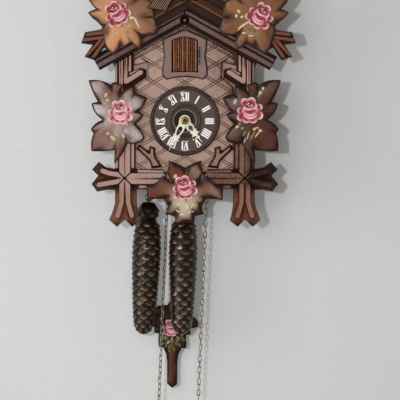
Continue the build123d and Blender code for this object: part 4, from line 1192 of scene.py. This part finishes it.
def rose(name, x, z, turn, size, back, front, deep, body="case", node="roses"):
    """The petals, then a dark heart with three pale stamens, turned and scaled as one. Deep is
    how far the crimson of the folds spreads towards the rims."""
    stamens = [(-1.6 + 1.1 * math.cos(a), 4.5 + 1.1 * math.sin(a), 0.58, 0.58, 0, 0, 5.3)
               for a in np.radians((50, 170, 290))]
    rows = np.array(petals + [(-1.6, 4.5, 2.3, 2.1, 0, 90, 3.9)] + stamens, float)
    px, pz = spun(*rows[:, :2].T * size, math.radians(turn))
    table = np.stack([x + px, z + pz, rows[:, 2] * size, rows[:, 3] * size, rows[:, 4] + turn,
                      rows[:, 5] + turn, np.full(len(rows), back), front + 0.55 * rows[:, 6]], -1)
    kind = np.r_[np.zeros(len(petals)), 0.5, np.ones(len(stamens))]
    obj = domes(name, table, shares, petal_lift,
                {"kind": kind, "deep": np.full(len(rows), deep)}, 22)
    return seat(obj, body, (node,), rose_paint)


print(len(rose_centres), "roses of", len(petals), "petals each")

# %% [markdown]
# One paint does for all roses. Its colour follows the petals' rim mask from the fold to the rim,
# and a second mask gives the heart and the stamens colours of their own.


# %% Rose paint
def palette(value, stops, interpolation="LINEAR"):
    """A colour for each value, given as (place, colour) pairs."""
    made = add(value.id_data, "ShaderNodeValToRGB", {"Fac": value})
    made.color_ramp.interpolation = interpolation
    for k, (place, shade) in enumerate(stops):
        spot = made.color_ramp.elements[k] if k < 2 else made.color_ramp.elements.new(place)
        spot.position, spot.color = place, shade
    return made.outputs["Color"]


rose_paint, tree, shader = material("rose_paint")
kind = mask(tree, "kind")
rim = varied(mask(tree, "rim"), noise(tree, 700.0, 2.0), 0.5, 0.3)
folded = maths("SUBTRACT", 2.2, maths("MULTIPLY", rim, 2.2))
rim = maths("SUBTRACT", rim, maths("MULTIPLY", mask(tree, "deep"), folded))
pink = palette(rim, [(0.0, colour(140, 44, 54)), (1.0, colour(252, 238, 236)),
                           (0.2, colour(188, 98, 106)), (0.45, colour(208, 147, 156)),
                           (0.7, colour(226, 178, 184)), (0.86, colour(240, 208, 211))])
pink = blend_colours(ramp(kind, 0.2, 0.4), pink, colour(78, 14, 24))
pink = blend_colours(ramp(kind, 0.7, 0.9), pink, colour(250, 236, 226))
plug(shader, {"Base Color": pink, "Roughness": 0.42, "Coat Weight": 0.25, "Coat Roughness": 0.3})
for name, place in rose_centres.items():
    print(rose(name, *place).name)

# %% Painted dabs
# x, z, half length, half width, turn, colour number
left_dabs = [(-72, 23, 2.2, 1.4, 70, 0), (-70.4, 18.4, 1.8, 1.2, 40, 0),
             (-74, 19, 1.4, 0.9, 120, 1), (-70, -12, 2.0, 1.5, 20, 3),
             (-65.4, -16.4, 3.4, 1.6, -35, 0), (-67, -14, 1.6, 1, 0, 1),
             (-61, -18.6, 2.8, 0.8, -30, 1), (-62.5, -12.5, 2.6, 0.7, -50, 0),
             (-53, -10, 3.4, 2.1, -35, 4), (-56, -14, 2.6, 1.5, -60, 4), (-49, 15, 1.8, 2.8, 20, 4),
             (-53, -3, 1.3, 2.4, 15, 4), (-57, -8, 2.2, 0.8, -60, 1)]
right_dabs = [(69, 25, 2.4, 1.5, 65, 0), (71.5, 29, 1.9, 1.3, 80, 0), (67, 22, 1.6, 1.0, 40, 1),
              (48, -6, 1.9, 1.5, 30, 0), (52.6, -7.2, 1.7, 1.4, 0, 1), (50, -3, 2.2, 0.8, 70, 1),
              (63.6, -8, 1.8, 1.4, 40, 0), (69, -9.4, 1.8, 1.4, 0, 2), (66.4, -6.8, 1.4, 1.0, 0, 0),
              (62, -14, 4.8, 0.8, 60, 1), (66, -13, 4.4, 0.8, 50, 0), (58, -13.5, 4.4, 0.7, 75, 4),
              (54.6, -11.5, 3.6, 0.8, 60, 1), (46, 17, 1.9, 2.9, -20, 4),
              (55, -18, 3.0, 0.7, 70, 4)]
low_dabs = [(-8.5, -51, 2.2, 1.6, 60, 0), (-5.4, -52.6, 1.4, 1.0, 30, 1),
            (-1, -77, 3.4, 0.9, 70, 0), (2.4, -79, 3.2, 0.8, 105, 2), (7, -78, 3.0, 0.9, 55, 0),
            (4, -84, 2.8, 0.8, 35, 2), (-6, -83, 3.0, 0.9, -30, 0), (-2.4, -86, 2.8, 0.8, 10, 2),
            (8, -83, 2.0, 0.7, 30, 0), (1, -73, 2.2, 0.8, 90, 1), (-5, -76.5, 1.8, 0.8, 50, 2),
            (10, -74.5, 1.9, 0.8, 30, 1)]
crown_left_dabs = [(-44, 96, 2.0, 1.4, 60, 1), (-43, 91, 1.9, 1.3, 100, 1),
                   (-48, 92, 2.2, 1.5, 20, 2), (-43.4, 88, 6.0, 0.9, -63, 2),
                   (-57, 85, 1.8, 1.2, 30, 1), (-52, 79, 2.0, 1.2, 0, 1),
                   (-60, 79, 1.6, 1.1, 60, 0), (-50, 85, 2.6, 0.7, 40, 0)]
crown_right_dabs = [(49, 98, 2.2, 1.4, 120, 0), (47, 94, 1.9, 1.3, 80, 2),
                    (52, 93, 1.9, 1.3, 30, 0), (54, 86, 6.6, 1.0, 33, 2), (57, 79, 3.0, 1.4, 20, 1),
                    (61, 78, 2.8, 1.4, -20, 1), (65, 77.5, 1.9, 1.5, 30, 1),
                    (59, 81.5, 2.0, 1.0, 60, 5), (63, 80.5, 2.2, 0.9, -30, 5),
                    (54, 78.5, 2.6, 0.8, 10, 2), (60, 75.8, 2.4, 0.7, 0, 2),
                    (50, 82.5, 3.2, 0.7, 45, 0)]
paint_dabs, tree, shader = material("paint_dabs")
dab_colours = [(198, 184, 122), (124, 130, 82), (214, 202, 170), (206, 158, 124), (178, 162, 160),
               (80, 96, 50)]
tone = palette(mask(tree, "hue"), [(k / 6, colour(*dab)) for k, dab in enumerate(dab_colours)],
               "CONSTANT")
smear = ramp(noise(tree, 500.0, 2.0), 0.45, 0.75, 0.0, 0.45)
tone = blend_colours(smear, tone, colour(120, 92, 78))
plug(shader, {"Base Color": tone, "Roughness": 0.4, "Coat Weight": 0.2})


def dabs(name, rows, surface, body="case"):
    """Dabs on a leaf: each one's back lies a little under the leaf's nearest point."""
    rows = np.array(rows, float)
    spots, level = surface
    level = level[((rows[:, None, :2] - spots) ** 2).sum(-1).argmin(1), None]
    table = np.hstack([rows[:, :5], rows[:, 4:5], level - 1.4, level - 0.1])
    obj = domes(name, table, (0.01, 0.4, 0.7, 0.9, 1.0, 1.0), dab_lift,
                {"hue": (rows[:, 5] + 0.5) / 6}, 12)
    seat(obj, body, (), paint_dabs)


for rows, owner in ((left_dabs, "leaf_left"), (right_dabs, "leaf_right"), (low_dabs, "leaf_bottom"),
                    (crown_left_dabs, "crown_leaf_left"), (crown_right_dabs, "crown_leaf_right")):
    dabs("dabs_" + owner.replace("leaf_", ""), rows, leaf_surfaces[owner])
print("paint dabs laid on", sorted(leaf_surfaces))

# %% [markdown]
# ## Cone weights
# Each weight is an iron casting in the shape of a spruce cone. Its core is a turned profile.
# Seven scales go round it, each row half a step round from the one above, and every scale is a
# curved plate whose rounded lower end stands off the core. Two darker rows make the cap.

# %% Cone weights
core = np.array([(0.3, 0.0), (4.6, -0.2), (5.6, -1.2), (7.9, -4.0), (8.8, -7.0), (9.2, -9.0),
                 (9.0, -12.0), (7.6, -15.5), (7.8, -18.0), (10.3, -22.0), (11.4, -30.0),
                 (12.2, -43.0), (12.0, -59.0), (11.2, -75.0), (10.4, -90.0), (9.3, -106.0),
                 (8.2, -115.0), (6.4, -121.0), (4.0, -124.0), (0.3, -125.0)])
scales_round, scale_high = 7, 8.4
row_tops = np.r_[-1.2, -5.8, -15.0 - np.cumsum(np.r_[0, np.linspace(5.4, 4.0, 21)])]


def leaned(points, name, lean):
    """Points about a weight's own axis, leaned by some degrees and hung in place, in a row."""
    x, y, z = np.moveaxis(points, -1, 0)
    x, z = spun(x, z, -math.radians(lean))
    return (np.stack([x, y, z], -1) + np.array(hang(name, -1, cone_drop))).reshape(-1, 3)


def cone(name, phase, lean):
    """A scale's point at share s across (-1 to 1) and t down (0 to 1): its angle is that of its
    scale plus s (1 - 0.12 t^4) of half a step, and it stands off the core by 1.9 t sqrt(t), less
    towards its sides. A ridge runs down the middle."""
    s = np.linspace(-1, 1, 9)
    t = np.array([0, 0.25, 0.5, 0.7, 0.85, 0.95, 1.0, 1.0])
    k, r, tt, ss = np.meshgrid(np.arange(scales_round), np.arange(len(row_tops)), t, s,
                               indexing="ij")
    below = np.clip(row_tops[r] - scale_high * tt * (1 - 0.30 * ss ** 2), -123.5, 0)
    girth = np.interp(-below, -core[:, 1], core[:, 0])
    stand = 1.9 * np.sqrt(tt) * tt * (1 - 0.22 * ss ** 2) + 0.7 * (1 - np.abs(ss)) * (1 - tt)
    stand = np.where(tt < 1, stand, stand - 0.4)
    stand[:, :, -1] = -0.8
    angle = 2 * np.pi * (k + 0.5 * (r % 2) + phase) / scales_round
    angle = angle + ss * (1 - 0.12 * tt ** 4) * 1.02 * np.pi / scales_round
    reach = girth + stand * np.clip((below + 126) / 8, 0.3, 1)
    points = np.stack([reach * np.cos(angle), reach * np.sin(angle), below], -1)
    a = circle(40)
    flute = core[:, :1] * (1 + 0.07 * np.sin(6 * a + 0.5 * core[:, 1:]) * (core[:, 1:] > -21))
    body = np.stack([flute * np.cos(a), flute * np.sin(a), core[:, 1:] + 0 * a], -1)
    faces = np.concatenate([
        copies(quads(len(t), len(s))[:, ::-1], len(t) * len(s), scales_round * len(row_tops)),
        k.size + quads(len(core), len(a), False, True)[:, ::-1]])
    # the tip mask places the painted highlight on each scale's lower end
    tip_highlight = tt * (1 - 0.55 * ss ** 2) * np.where(r < 2, 0.8, 1)
    obj = make_mesh("cone_" + name, np.concatenate([leaned(points, name, lean),
                                                    leaned(body, name, lean)]),
                    faces, values={"tip_highlight": np.r_[tip_highlight.ravel(), np.full(flute.size, 0.15)]})
    return seat(obj, f"{name}_weight", (f"pinecone_{name}",), cast_iron)


# The iron is painted dark with a bright copper highlight painted on by the tip mask, and painted shade
# dims that highlight towards the cone's sides, where the surface turns away from the eye.
cast_iron, tree, shader = material("cast_iron")
tip_highlight = varied(mask(tree, "tip_highlight"), noise(tree, 160.0, 4.0), 0.55, 1.1)
away = add(tree, "ShaderNodeLayerWeight", {"Blend": 0.5}).outputs["Facing"]
tip_highlight = maths("MULTIPLY", tip_highlight, ramp(away, 0.75, 0.2, 0.5, 1.0))
tone = palette(tip_highlight, [(0.05, colour(22, 20, 17)), (1.0, colour(222, 178, 146)),
                     (0.5, colour(44, 38, 32)), (0.8, colour(120, 92, 72))])
plug(shader, {"Base Color": tone, "Metallic": 0.6, "Roughness": 0.3, "Coat Weight": 0.2,
              "Coat Roughness": 0.3, "Normal": bumped(noise(tree, 1500.0, 2.0), 0.12, 0.0004)})
for name, phase, lean in (("time", 0.25, 2.2), ("strike", 0.0, 1.1)):
    print(cone(name, phase, lean).name, "of", scales_round, "scales round")

# %% [markdown]
# ## Bargeboards and crown
# Each bargeboard is stepped along its length: a chamfer at the foot painted black as shade, a
# broad pale band, a dark groove, a second pale band and a sunk band at the top painted dark as
# the crown's shadow. The crown board above it is hatched, and forks into two cut stubs at each
# end.

# %% Bargeboards
board_width = 14.0          # of a bargeboard, square to its length
plug_z = 91.2               # the middle of the round plug that covers the ridge
steps_at = [0, 1.7, 6.4, 6.7, 7.4, 7.7, 10.6, 11.0, board_width]
step_heights = [105.0, 107, 107, 105.9, 105.9, 107, 107, 105.2, 105.2]


def up_slope(u, s, side=1):
    """The spot u down the roof's underside from the ridge and s square to it."""
    across, down = math.cos(roof_angle), math.sin(roof_angle)
    return side * (u * across + s * down), ridge_z - u * down + s * across


def round_the_plug(radius, turns):
    """Corners on a circle about the plug's middle."""
    return [(radius * math.cos(t), plug_z + radius * math.sin(t)) for t in turns]


def bargeboard(side, name, wood):
    outline = (round_the_plug(3.6, np.radians(np.linspace(-61, 90, 10)))
               + [up_slope(*spot) for spot in ((-7.76, board_width), (88.85, board_width),
                                               (88.85, 0))])
    shore = trace(on_side(outline, side), 2.0)
    cuts = cut_to([(*up_slope(-10, s, side), *up_slope(100, s, side)) for s in steps_at[1:-1]], shore)
    spots, faces = net(shore, (), cuts, 1.8, (0.8,))
    s = (spots[:, 1] - under_roof(spots[:, 0])) * math.cos(roof_angle)
    edge = edge_distance(spots, shore)
    height = np.interp(s, steps_at, step_heights)
    height -= 0.9 * np.clip(1 - edge / 0.8, 0, 1) * (s > 2)
    # painted shade: black on the chamfer at the foot and dark on the sunk band at the top; the dark
    # groove between is real
    stain_and_shade_bands = np.interp(s, [0, 1.6, 2.0, 6.2, 6.6, 7.5, 7.9, 10.4, 10.9, 14],
                      [1, 1, .1, 0.05, .8, .8, .15, .25, 1, .8])
    obj = board_mesh("bargeboard_carving_" + name, spots, faces, height, 102.0,
                     {"stain": np.clip(np.maximum(stain_and_shade_bands, 1.1 - edge), 0, 1)})
    return seat(obj, "case", ("bargeboard_" + name,), wood)


# the left board's wood is painted a little darker than the right, as the crown's shadow
barge_wood = stained("barge_wood", (105, 80, 78), (28, 15, 11))
dim_barge_wood = stained("dim_barge_wood", (112, 86, 82), (30, 17, 13))
for side, name, wood in ((-1, "left", barge_wood), (1, "right", dim_barge_wood)):
    print(bargeboard(side, name, wood).name)
beams("ridge_plug", round_the_plug(3.5, circle(20)), 106.4, 2.2,
      ("bargeboard_left", "bargeboard_right"), barge_wood, 0.8, 102.0)

# %% Crown board and stubs
crown_wood = stained("crown_wood", (118, 73, 50), (42, 24, 15), grain=1.5)
arch = [(0, 101.5), (31.5, 83.6), (48.0, 74.0), (72.0, 70.0), (72.0, 86.0), (48.0, 101.0),
        (24.0, 113.0), (12.0, 127.0)]
arch = moved(doubled(arch), crown_x, 0)
tan_line = [(side * 3.0 + crown_x, 108.2, side * 34.0 + crown_x, 91.0) for side in (-1, 1)]
hatch = [(*up_slope(u, 17.8, side), *up_slope(u, 23.5, side)) for side in (-1, 1)
         for u in np.arange(-2, 60, 2.0)]
hatch = cut_to(np.array(hatch) + (crown_x, 0, crown_x, 0), trace(arch, 2.0), 433)
ridged("crown_board_carving", arch, [(tan_line, 0.55), (hatch, 0.3)], 107.0, 113.0,
       ("crown_board",), crown_wood, 2.0, 1.6)
stub = [(66, 78), (70, 62), (77, 66), (85, 54.2), (94.5, 57.6), (87, 68.5), (97.6, 69.9),
        (94.2, 80), (80, 82.4), (74, 88)]
stub_strips = [(74, 75.4, 94.6, 72.6), (75, 79.6, 91.5, 77.4), (76, 71.8, 86, 57.6),
               (80, 72.2, 91.6, 59.4)]
for side, name in ((-1, "left"), (1, "right")):
    lines = np.array(stub_strips) * (side, 1, side, 1) + (crown_x, 0, crown_x, 0)
    ridged("stub_carving_" + name, moved(on_side(stub, side), crown_x, 0), [(lines, 1.25)],
           107.02, 113.2, ("crown_board",), crown_wood, 1.1, 1.8)
print("crown board and stubs carved")

# %% [markdown]
# ## Bird
# The carved bird sits over the ridge. Its tail is a fan of feathers, each marked by a raised
# shaft, and so are its raised wings.

# %% Bird
feather_wood = stained("feather_wood", (150, 122, 98), (58, 38, 30), grain=1.2)
tail = [(-5.6, 118.0), (-15.0, 126.0), (-24.0, 116.0), (-34.0, 100.4), (-16.2, 97.2),
        (-10.5, 110.0)]
share = np.linspace(0.06, 0.94, 9)[:, None]
shafts = np.concatenate([np.array([-6.4, 118.6]) + share * np.array([-7.8, 6.6]),
                         np.array([-17.4, 98.2]) + share * np.array([-15.2, 2.8])], 1)
ridged("bird_tail_carving", tail, [(shafts, 0.28)], 118.2, 122.2, ("bird_tail",),
       feather_wood, 1.0, 0.7)
wings = {"right": ([(8, 122), (26, 128), (44, 146), (30, 150), (14, 140)],
                   (9, 124, 41, 146), (12, 139, 31, 148.5)),
         "left": ([(4, 122), (-12, 132), (-26, 150), (-10, 154), (4, 144), (11, 131)],
                  (3, 124, -24, 149.4), (6, 142, -11, 152.6))}
for name, (outline, low, high) in wings.items():
    low, high = np.array(low), np.array(high)
    feathers = low + (high - low) * np.linspace(0.1, 0.9, 7)[:, None]
    ridged("bird_wing_carving_" + name, outline, [(feathers, 0.3)], 113.0, 117.0, ("bird_wings",),
           feather_wood, 1.2, 0.7)
bird_coat, tree, shader = material("bird_coat")
down = noise(tree, (240.0, 240.0, 520.0))
tone = blend_colours(ramp(down, 0.4, 0.65), colour(112, 84, 66), colour(64, 44, 34))
plug(shader, {"Base Color": tone, "Roughness": 0.45, "Coat Weight": 0.3,
              "Normal": bumped(down, 0.4, 0.001)})
print("bird carved")

# %% [markdown]
# ## Pendulum
# The bob is a carved leaf on a stem. It is drawn upright about the rod, then turned 2.8 degrees
# about the pivot with the rod, as the clock hangs.

# %% Pendulum bob
swing = math.radians(2.8)


def on_rod(x, z):
    """A spot measured from the pivot along the rod, turned about the pivot."""
    across, up = spun(x, z, -swing)
    return 1.0 + across, 30.0 + up


def on_bob(x, z):
    """A spot measured from the stem's foot. The bob sits on the rod a little out of line."""
    return on_rod(x - 0.045 * z, z - 283.5)


bob_half = [(0, 0), (4.8, 3.8), (5.0, 25.0), (5.8, 32.0), (8.8, 38.5), (13.0, 38.8, 0.05),
            (13.6, 45.0), (13.0, 51.5), (17.4, 52.2), (17.6, 58.0), (24.4, 59.5, 0.06),
            (24.8, 65.0, 0.04), (16.5, 72.4), (10.5, 71.0), (12.0, 78.0, 0.05), (5.0, 79.4),
            (0, 87.0)]
bob_outline = (bob_half + [(-5.0, 79.4, 0), (-14.0, 78.2, 0), (-16.4, 76.0, 0), (-17.4, 71.6, 0)]
               + [(-x, z) for x, z, *_ in bob_half[11:0:-1]])
bob_veins = [((0, 42), (0, 84)), ((0, 48), (13, 46)), ((0, 48), (-13, 46)), ((0, 54), (19, 64)),
             ((0, 54), (-19, 64)), ((0, 64), (9, 75)), ((0, 64), (-9, 75)), ((0, 2), (0, 36))]
bob_veins = [(on_bob(*start), on_bob(*end)) for start, end in bob_veins]
bob_wood = stained("bob_wood", (58, 33, 24), (29, 16, 11), tint=(98, 46, 17))
stem = on_bob(0, 15.5)
leaf("bob_carving", [(*on_bob(x, z), bulge) for x, z, bulge in full(bob_outline)], bob_veins, 30.7,
     [(stem[0], stem[1], 14, 0.9), (stem[0] + 1, stem[1] + 16, 12, 0.9)], on_rod(0, -225),
     "pendulum_bob", bob_wood, 1.8, "pendulum")
rose("rose_on_bob", *on_rod(-3.8, -225.0), 0, 0.70, 34.6, 35.9, 0.0, "pendulum", "rose_bob")
bob_dabs = [(*on_bob(x + 1.5, z), long, wide, turn, hue) for x, z, long, wide, turn, hue in
            [(-8, 48, 2.6, 1.4, 60, 1), (-2, 47, 3.0, 1.2, 80, 1), (4, 48, 2.6, 1.2, 110, 1),
             (-5, 44, 2.2, 1.0, 40, 0), (2, 43, 2.2, 1.0, 100, 5), (8, 52, 2.0, 1.0, 40, 0),
             (-9, 43, 3.0, 1.3, 35, 5), (-4, 40, 3.0, 1.4, 70, 5), (0, 38, 2.6, 1.2, 100, 5),
             (5, 42, 2.8, 1.3, 130, 5), (-1, 45, 2.4, 1.2, 60, 5), (9, 47, 2.6, 1.1, 150, 5),
             (-6, 46, 3.0, 1.0, 75, 5), (-7, 41, 3.0, 1.0, 55, 5), (-2, 42, 3.2, 1.0, 80, 5),
             (3, 45, 3.0, 1.0, 95, 5), (-10, 49, 2.6, 1.0, 110, 5), (-4, 36, 2.6, 1.0, 85, 5),
             (7, 49, 2.4, 1.0, 20, 5), (-12, 52, 2.0, 1.2, 120, 0), (6, 68, 1.8, 1.0, 45, 1),
             (-12, 66, 1.8, 1.0, 130, 1)]]
dabs("dabs_bob", bob_dabs, leaf_surfaces["pendulum_bob"], "pendulum")
print("pendulum bob carved")

# %% [markdown]
# ## Door and everything inside
# The cuckoo's door is ribbed. The rest of the clock keeps the shape of its construction and
# takes its finish here: planed wood for the case, plated steel and brass for the movement,
# folded paper for the bellows.

# %% Door
dark_steel = metal("dark_steel", (96, 94, 92), (62, 58, 56), 0.38)
ribs, rib_pitch = 11, 2.0
rib_lines = [(x, 44.0, x, 79.0) for x in (np.arange(ribs + 1) - ribs / 2) * rib_pitch]
shore = trace(doorway(0), 1.5)
cuts = cut_to(rib_lines, shore, 433)
spots, faces = net(shore, (), groove_lines(cuts, 0.4), 1.2, (0.5,))
edge = edge_distance(spots, shore)
groove = groove_depth(spots, cuts, 0.4, 1.0)
level = 94.0 - 0.9 * groove - 0.4 * np.clip(1 - edge / 0.5, 0, 1)
rib_number = np.floor(spots[:, 0] / rib_pitch + 0.5)
door = board_mesh("ribbed_door", spots, faces, level, 91.0,
                  {"stain": np.clip(np.maximum(1.2 * groove, 1 - edge / 0.8), 0, 1),
                   "tint_and_sheen": (rib_number % 2) * 0.9})
seat(door, "door", ("cuckoo_door",), door_wood)

# each eye on the door's wire is a bent lug: its plan (x, y), cut off 0.6 mm under and over
lug = [(12.2, -95.2), (13.9, -95.2), (13.9, -97.7), (10.4, -97.7), (10.4, -93.5), (12.2, -93.5)]
lug_faces = [[0, 1, 2, 3], [0, 3, 4, 5], [9, 8, 7, 6], [11, 10, 9, 6],
             *([(k + 1) % 6, k, k + 6, (k + 1) % 6 + 6] for k in range(6))]
for spot in (54.8, 64.8):
    eye = make_mesh(f"door_eye_{spot:.0f}", [(x, y, spot + dial_z + rise) for rise in (-0.6, 0.6)
                                             for x, y in lug], lug_faces, smooth=False)
    seat(eye, "door", ("cuckoo_door",), dark_steel)
print("door ribbed")

# %% Finishes for the rest
paper, tree, shader = material("bellows_paper")
tone = blend_colours(noise(tree, 200.0), colour(206, 196, 172), colour(176, 162, 136))
plug(shader, {"Base Color": tone, "Roughness": 0.85})
finishes = {
    case_wood: ("case_side_left", "case_side_right", "case_bottom", "back_door",
                "roof_board_left", "roof_board_right", "hanger_rail"),
    front_wood: ("front_board",),
    inner_wood: ("cuckoo_rail",),
    wire_steel: ("hanger_plate", "anchor", "pendulum_rod", "hammer", "movement_pillars"),
    bright_brass: ("escape_wheel", "chain_wheel_time", "chain_wheel_strike",
                   "movement_front_plate", "movement_back_plate"),
    dark_steel: ("gong", "door_hinge", "centre_arbor"),
    bird_coat: ("crown_bird", "cuckoo"),
    paper: ("bellows",)}
for finish, names in finishes.items():
    for name in names:
        coat(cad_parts[name], finish)
print("finished", sum(map(len, finishes.values())), "nodes")

# %% [markdown]
# ## Wall
# The wall is a plain pale sheet just behind the clock. Only its front is seen, and it casts no
# shadow, so views from behind look through it and a lamp there lights the back.

# %% Wall
wall_reach, wall_gap = 1500, 1.0        # half its width, and how far it is behind the clock
wall = make_mesh("wall", np.array([[x * wall_reach, wall_gap, z * wall_reach] for x, z in
                                   ((-1, -1), (1, -1), (1, 1), (-1, 1))]), [[0, 1, 2, 3]])
wall_paint, tree, shader = material("wall_paint")
folds = ramp(noise(tree, (14.0, 14.0, 5.0), 2.0), 0.3, 0.7)
weave = ramp(noise(tree, 190.0), 0.3, 0.7, 0.0, 0.6)
tone = blend_colours(folds, (0.690, 0.694, 0.706, 1), (0.716, 0.716, 0.714, 1))
plug(shader, {"Base Color": blend_colours(weave, tone, (0.668, 0.668, 0.672, 1)),
              "Roughness": 0.9})
clear = add(tree, "ShaderNodeBsdfTransparent").outputs[0]
through = maths("MAXIMUM", add(tree, "ShaderNodeNewGeometry").outputs["Backfacing"],
                add(tree, "ShaderNodeLightPath").outputs["Is Shadow Ray"])
mixed = add(tree, "ShaderNodeMixShader", {0: through, 1: shader.outputs[0], 2: clear})
tree.links.new(mixed.outputs[0], tree.nodes["Material Output"].inputs["Surface"])
coat(wall, wall_paint)
print("wall", 2 * wall_reach * mm, "m wide")

# %% [markdown]
# ## Light
# A broad lamp fills the front, and a small one near the eye gives the close shadow on the wall.
# A broad one far to the left brightens that side, and the pale world fills the rest. One more,
# high on the left, only shows as glints on metal, paint and lacquer.

# %% Light
# watts, size and place in metres, tilt and turn in degrees, what it doesn't show in
lamps = {"front": (2.9, 0.4, (-0.12, -0.95, -0.15), 90, -6, "glossy"),
         "key": (5.7, 0.024, (-0.12, -1.45, -0.11), 90, -5, "glossy"),
         "window": (4.0, 0.8, (-1.0, -0.9, -0.1), 90, -48, ""),
         "glint": (2.4, 0.07, (-0.45, -1.1, 0.42), 60, -24, "diffuse"),
         "behind": (7.0, 0.8, (0.4, 1.3, 0.3), -80, 17, "")}
for name, (watts, size, place, tilt, turn, hidden) in lamps.items():
    lamp = bpy.data.lights.new(name, "AREA")
    lamp.energy, lamp.size = watts, size
    holder = bpy.data.objects.new(name, lamp)
    holder.location = place
    holder.rotation_euler = (math.radians(tilt), 0, math.radians(turn))
    holder.visible_glossy = hidden != "glossy"
    holder.visible_diffuse = hidden != "diffuse"
    scene.collection.objects.link(holder)
bpy.data.lights["key"].color = (0.96, 0.985, 1.0)
world = bpy.data.worlds.new("world")
world.use_nodes = True
plug(world.node_tree.nodes["Background"], {"Color": (1, 0.965, 0.9, 1), "Strength": 0.26})
scene.world = world
scene.view_settings.view_transform = "Standard"
print("lamps:", *lamps)
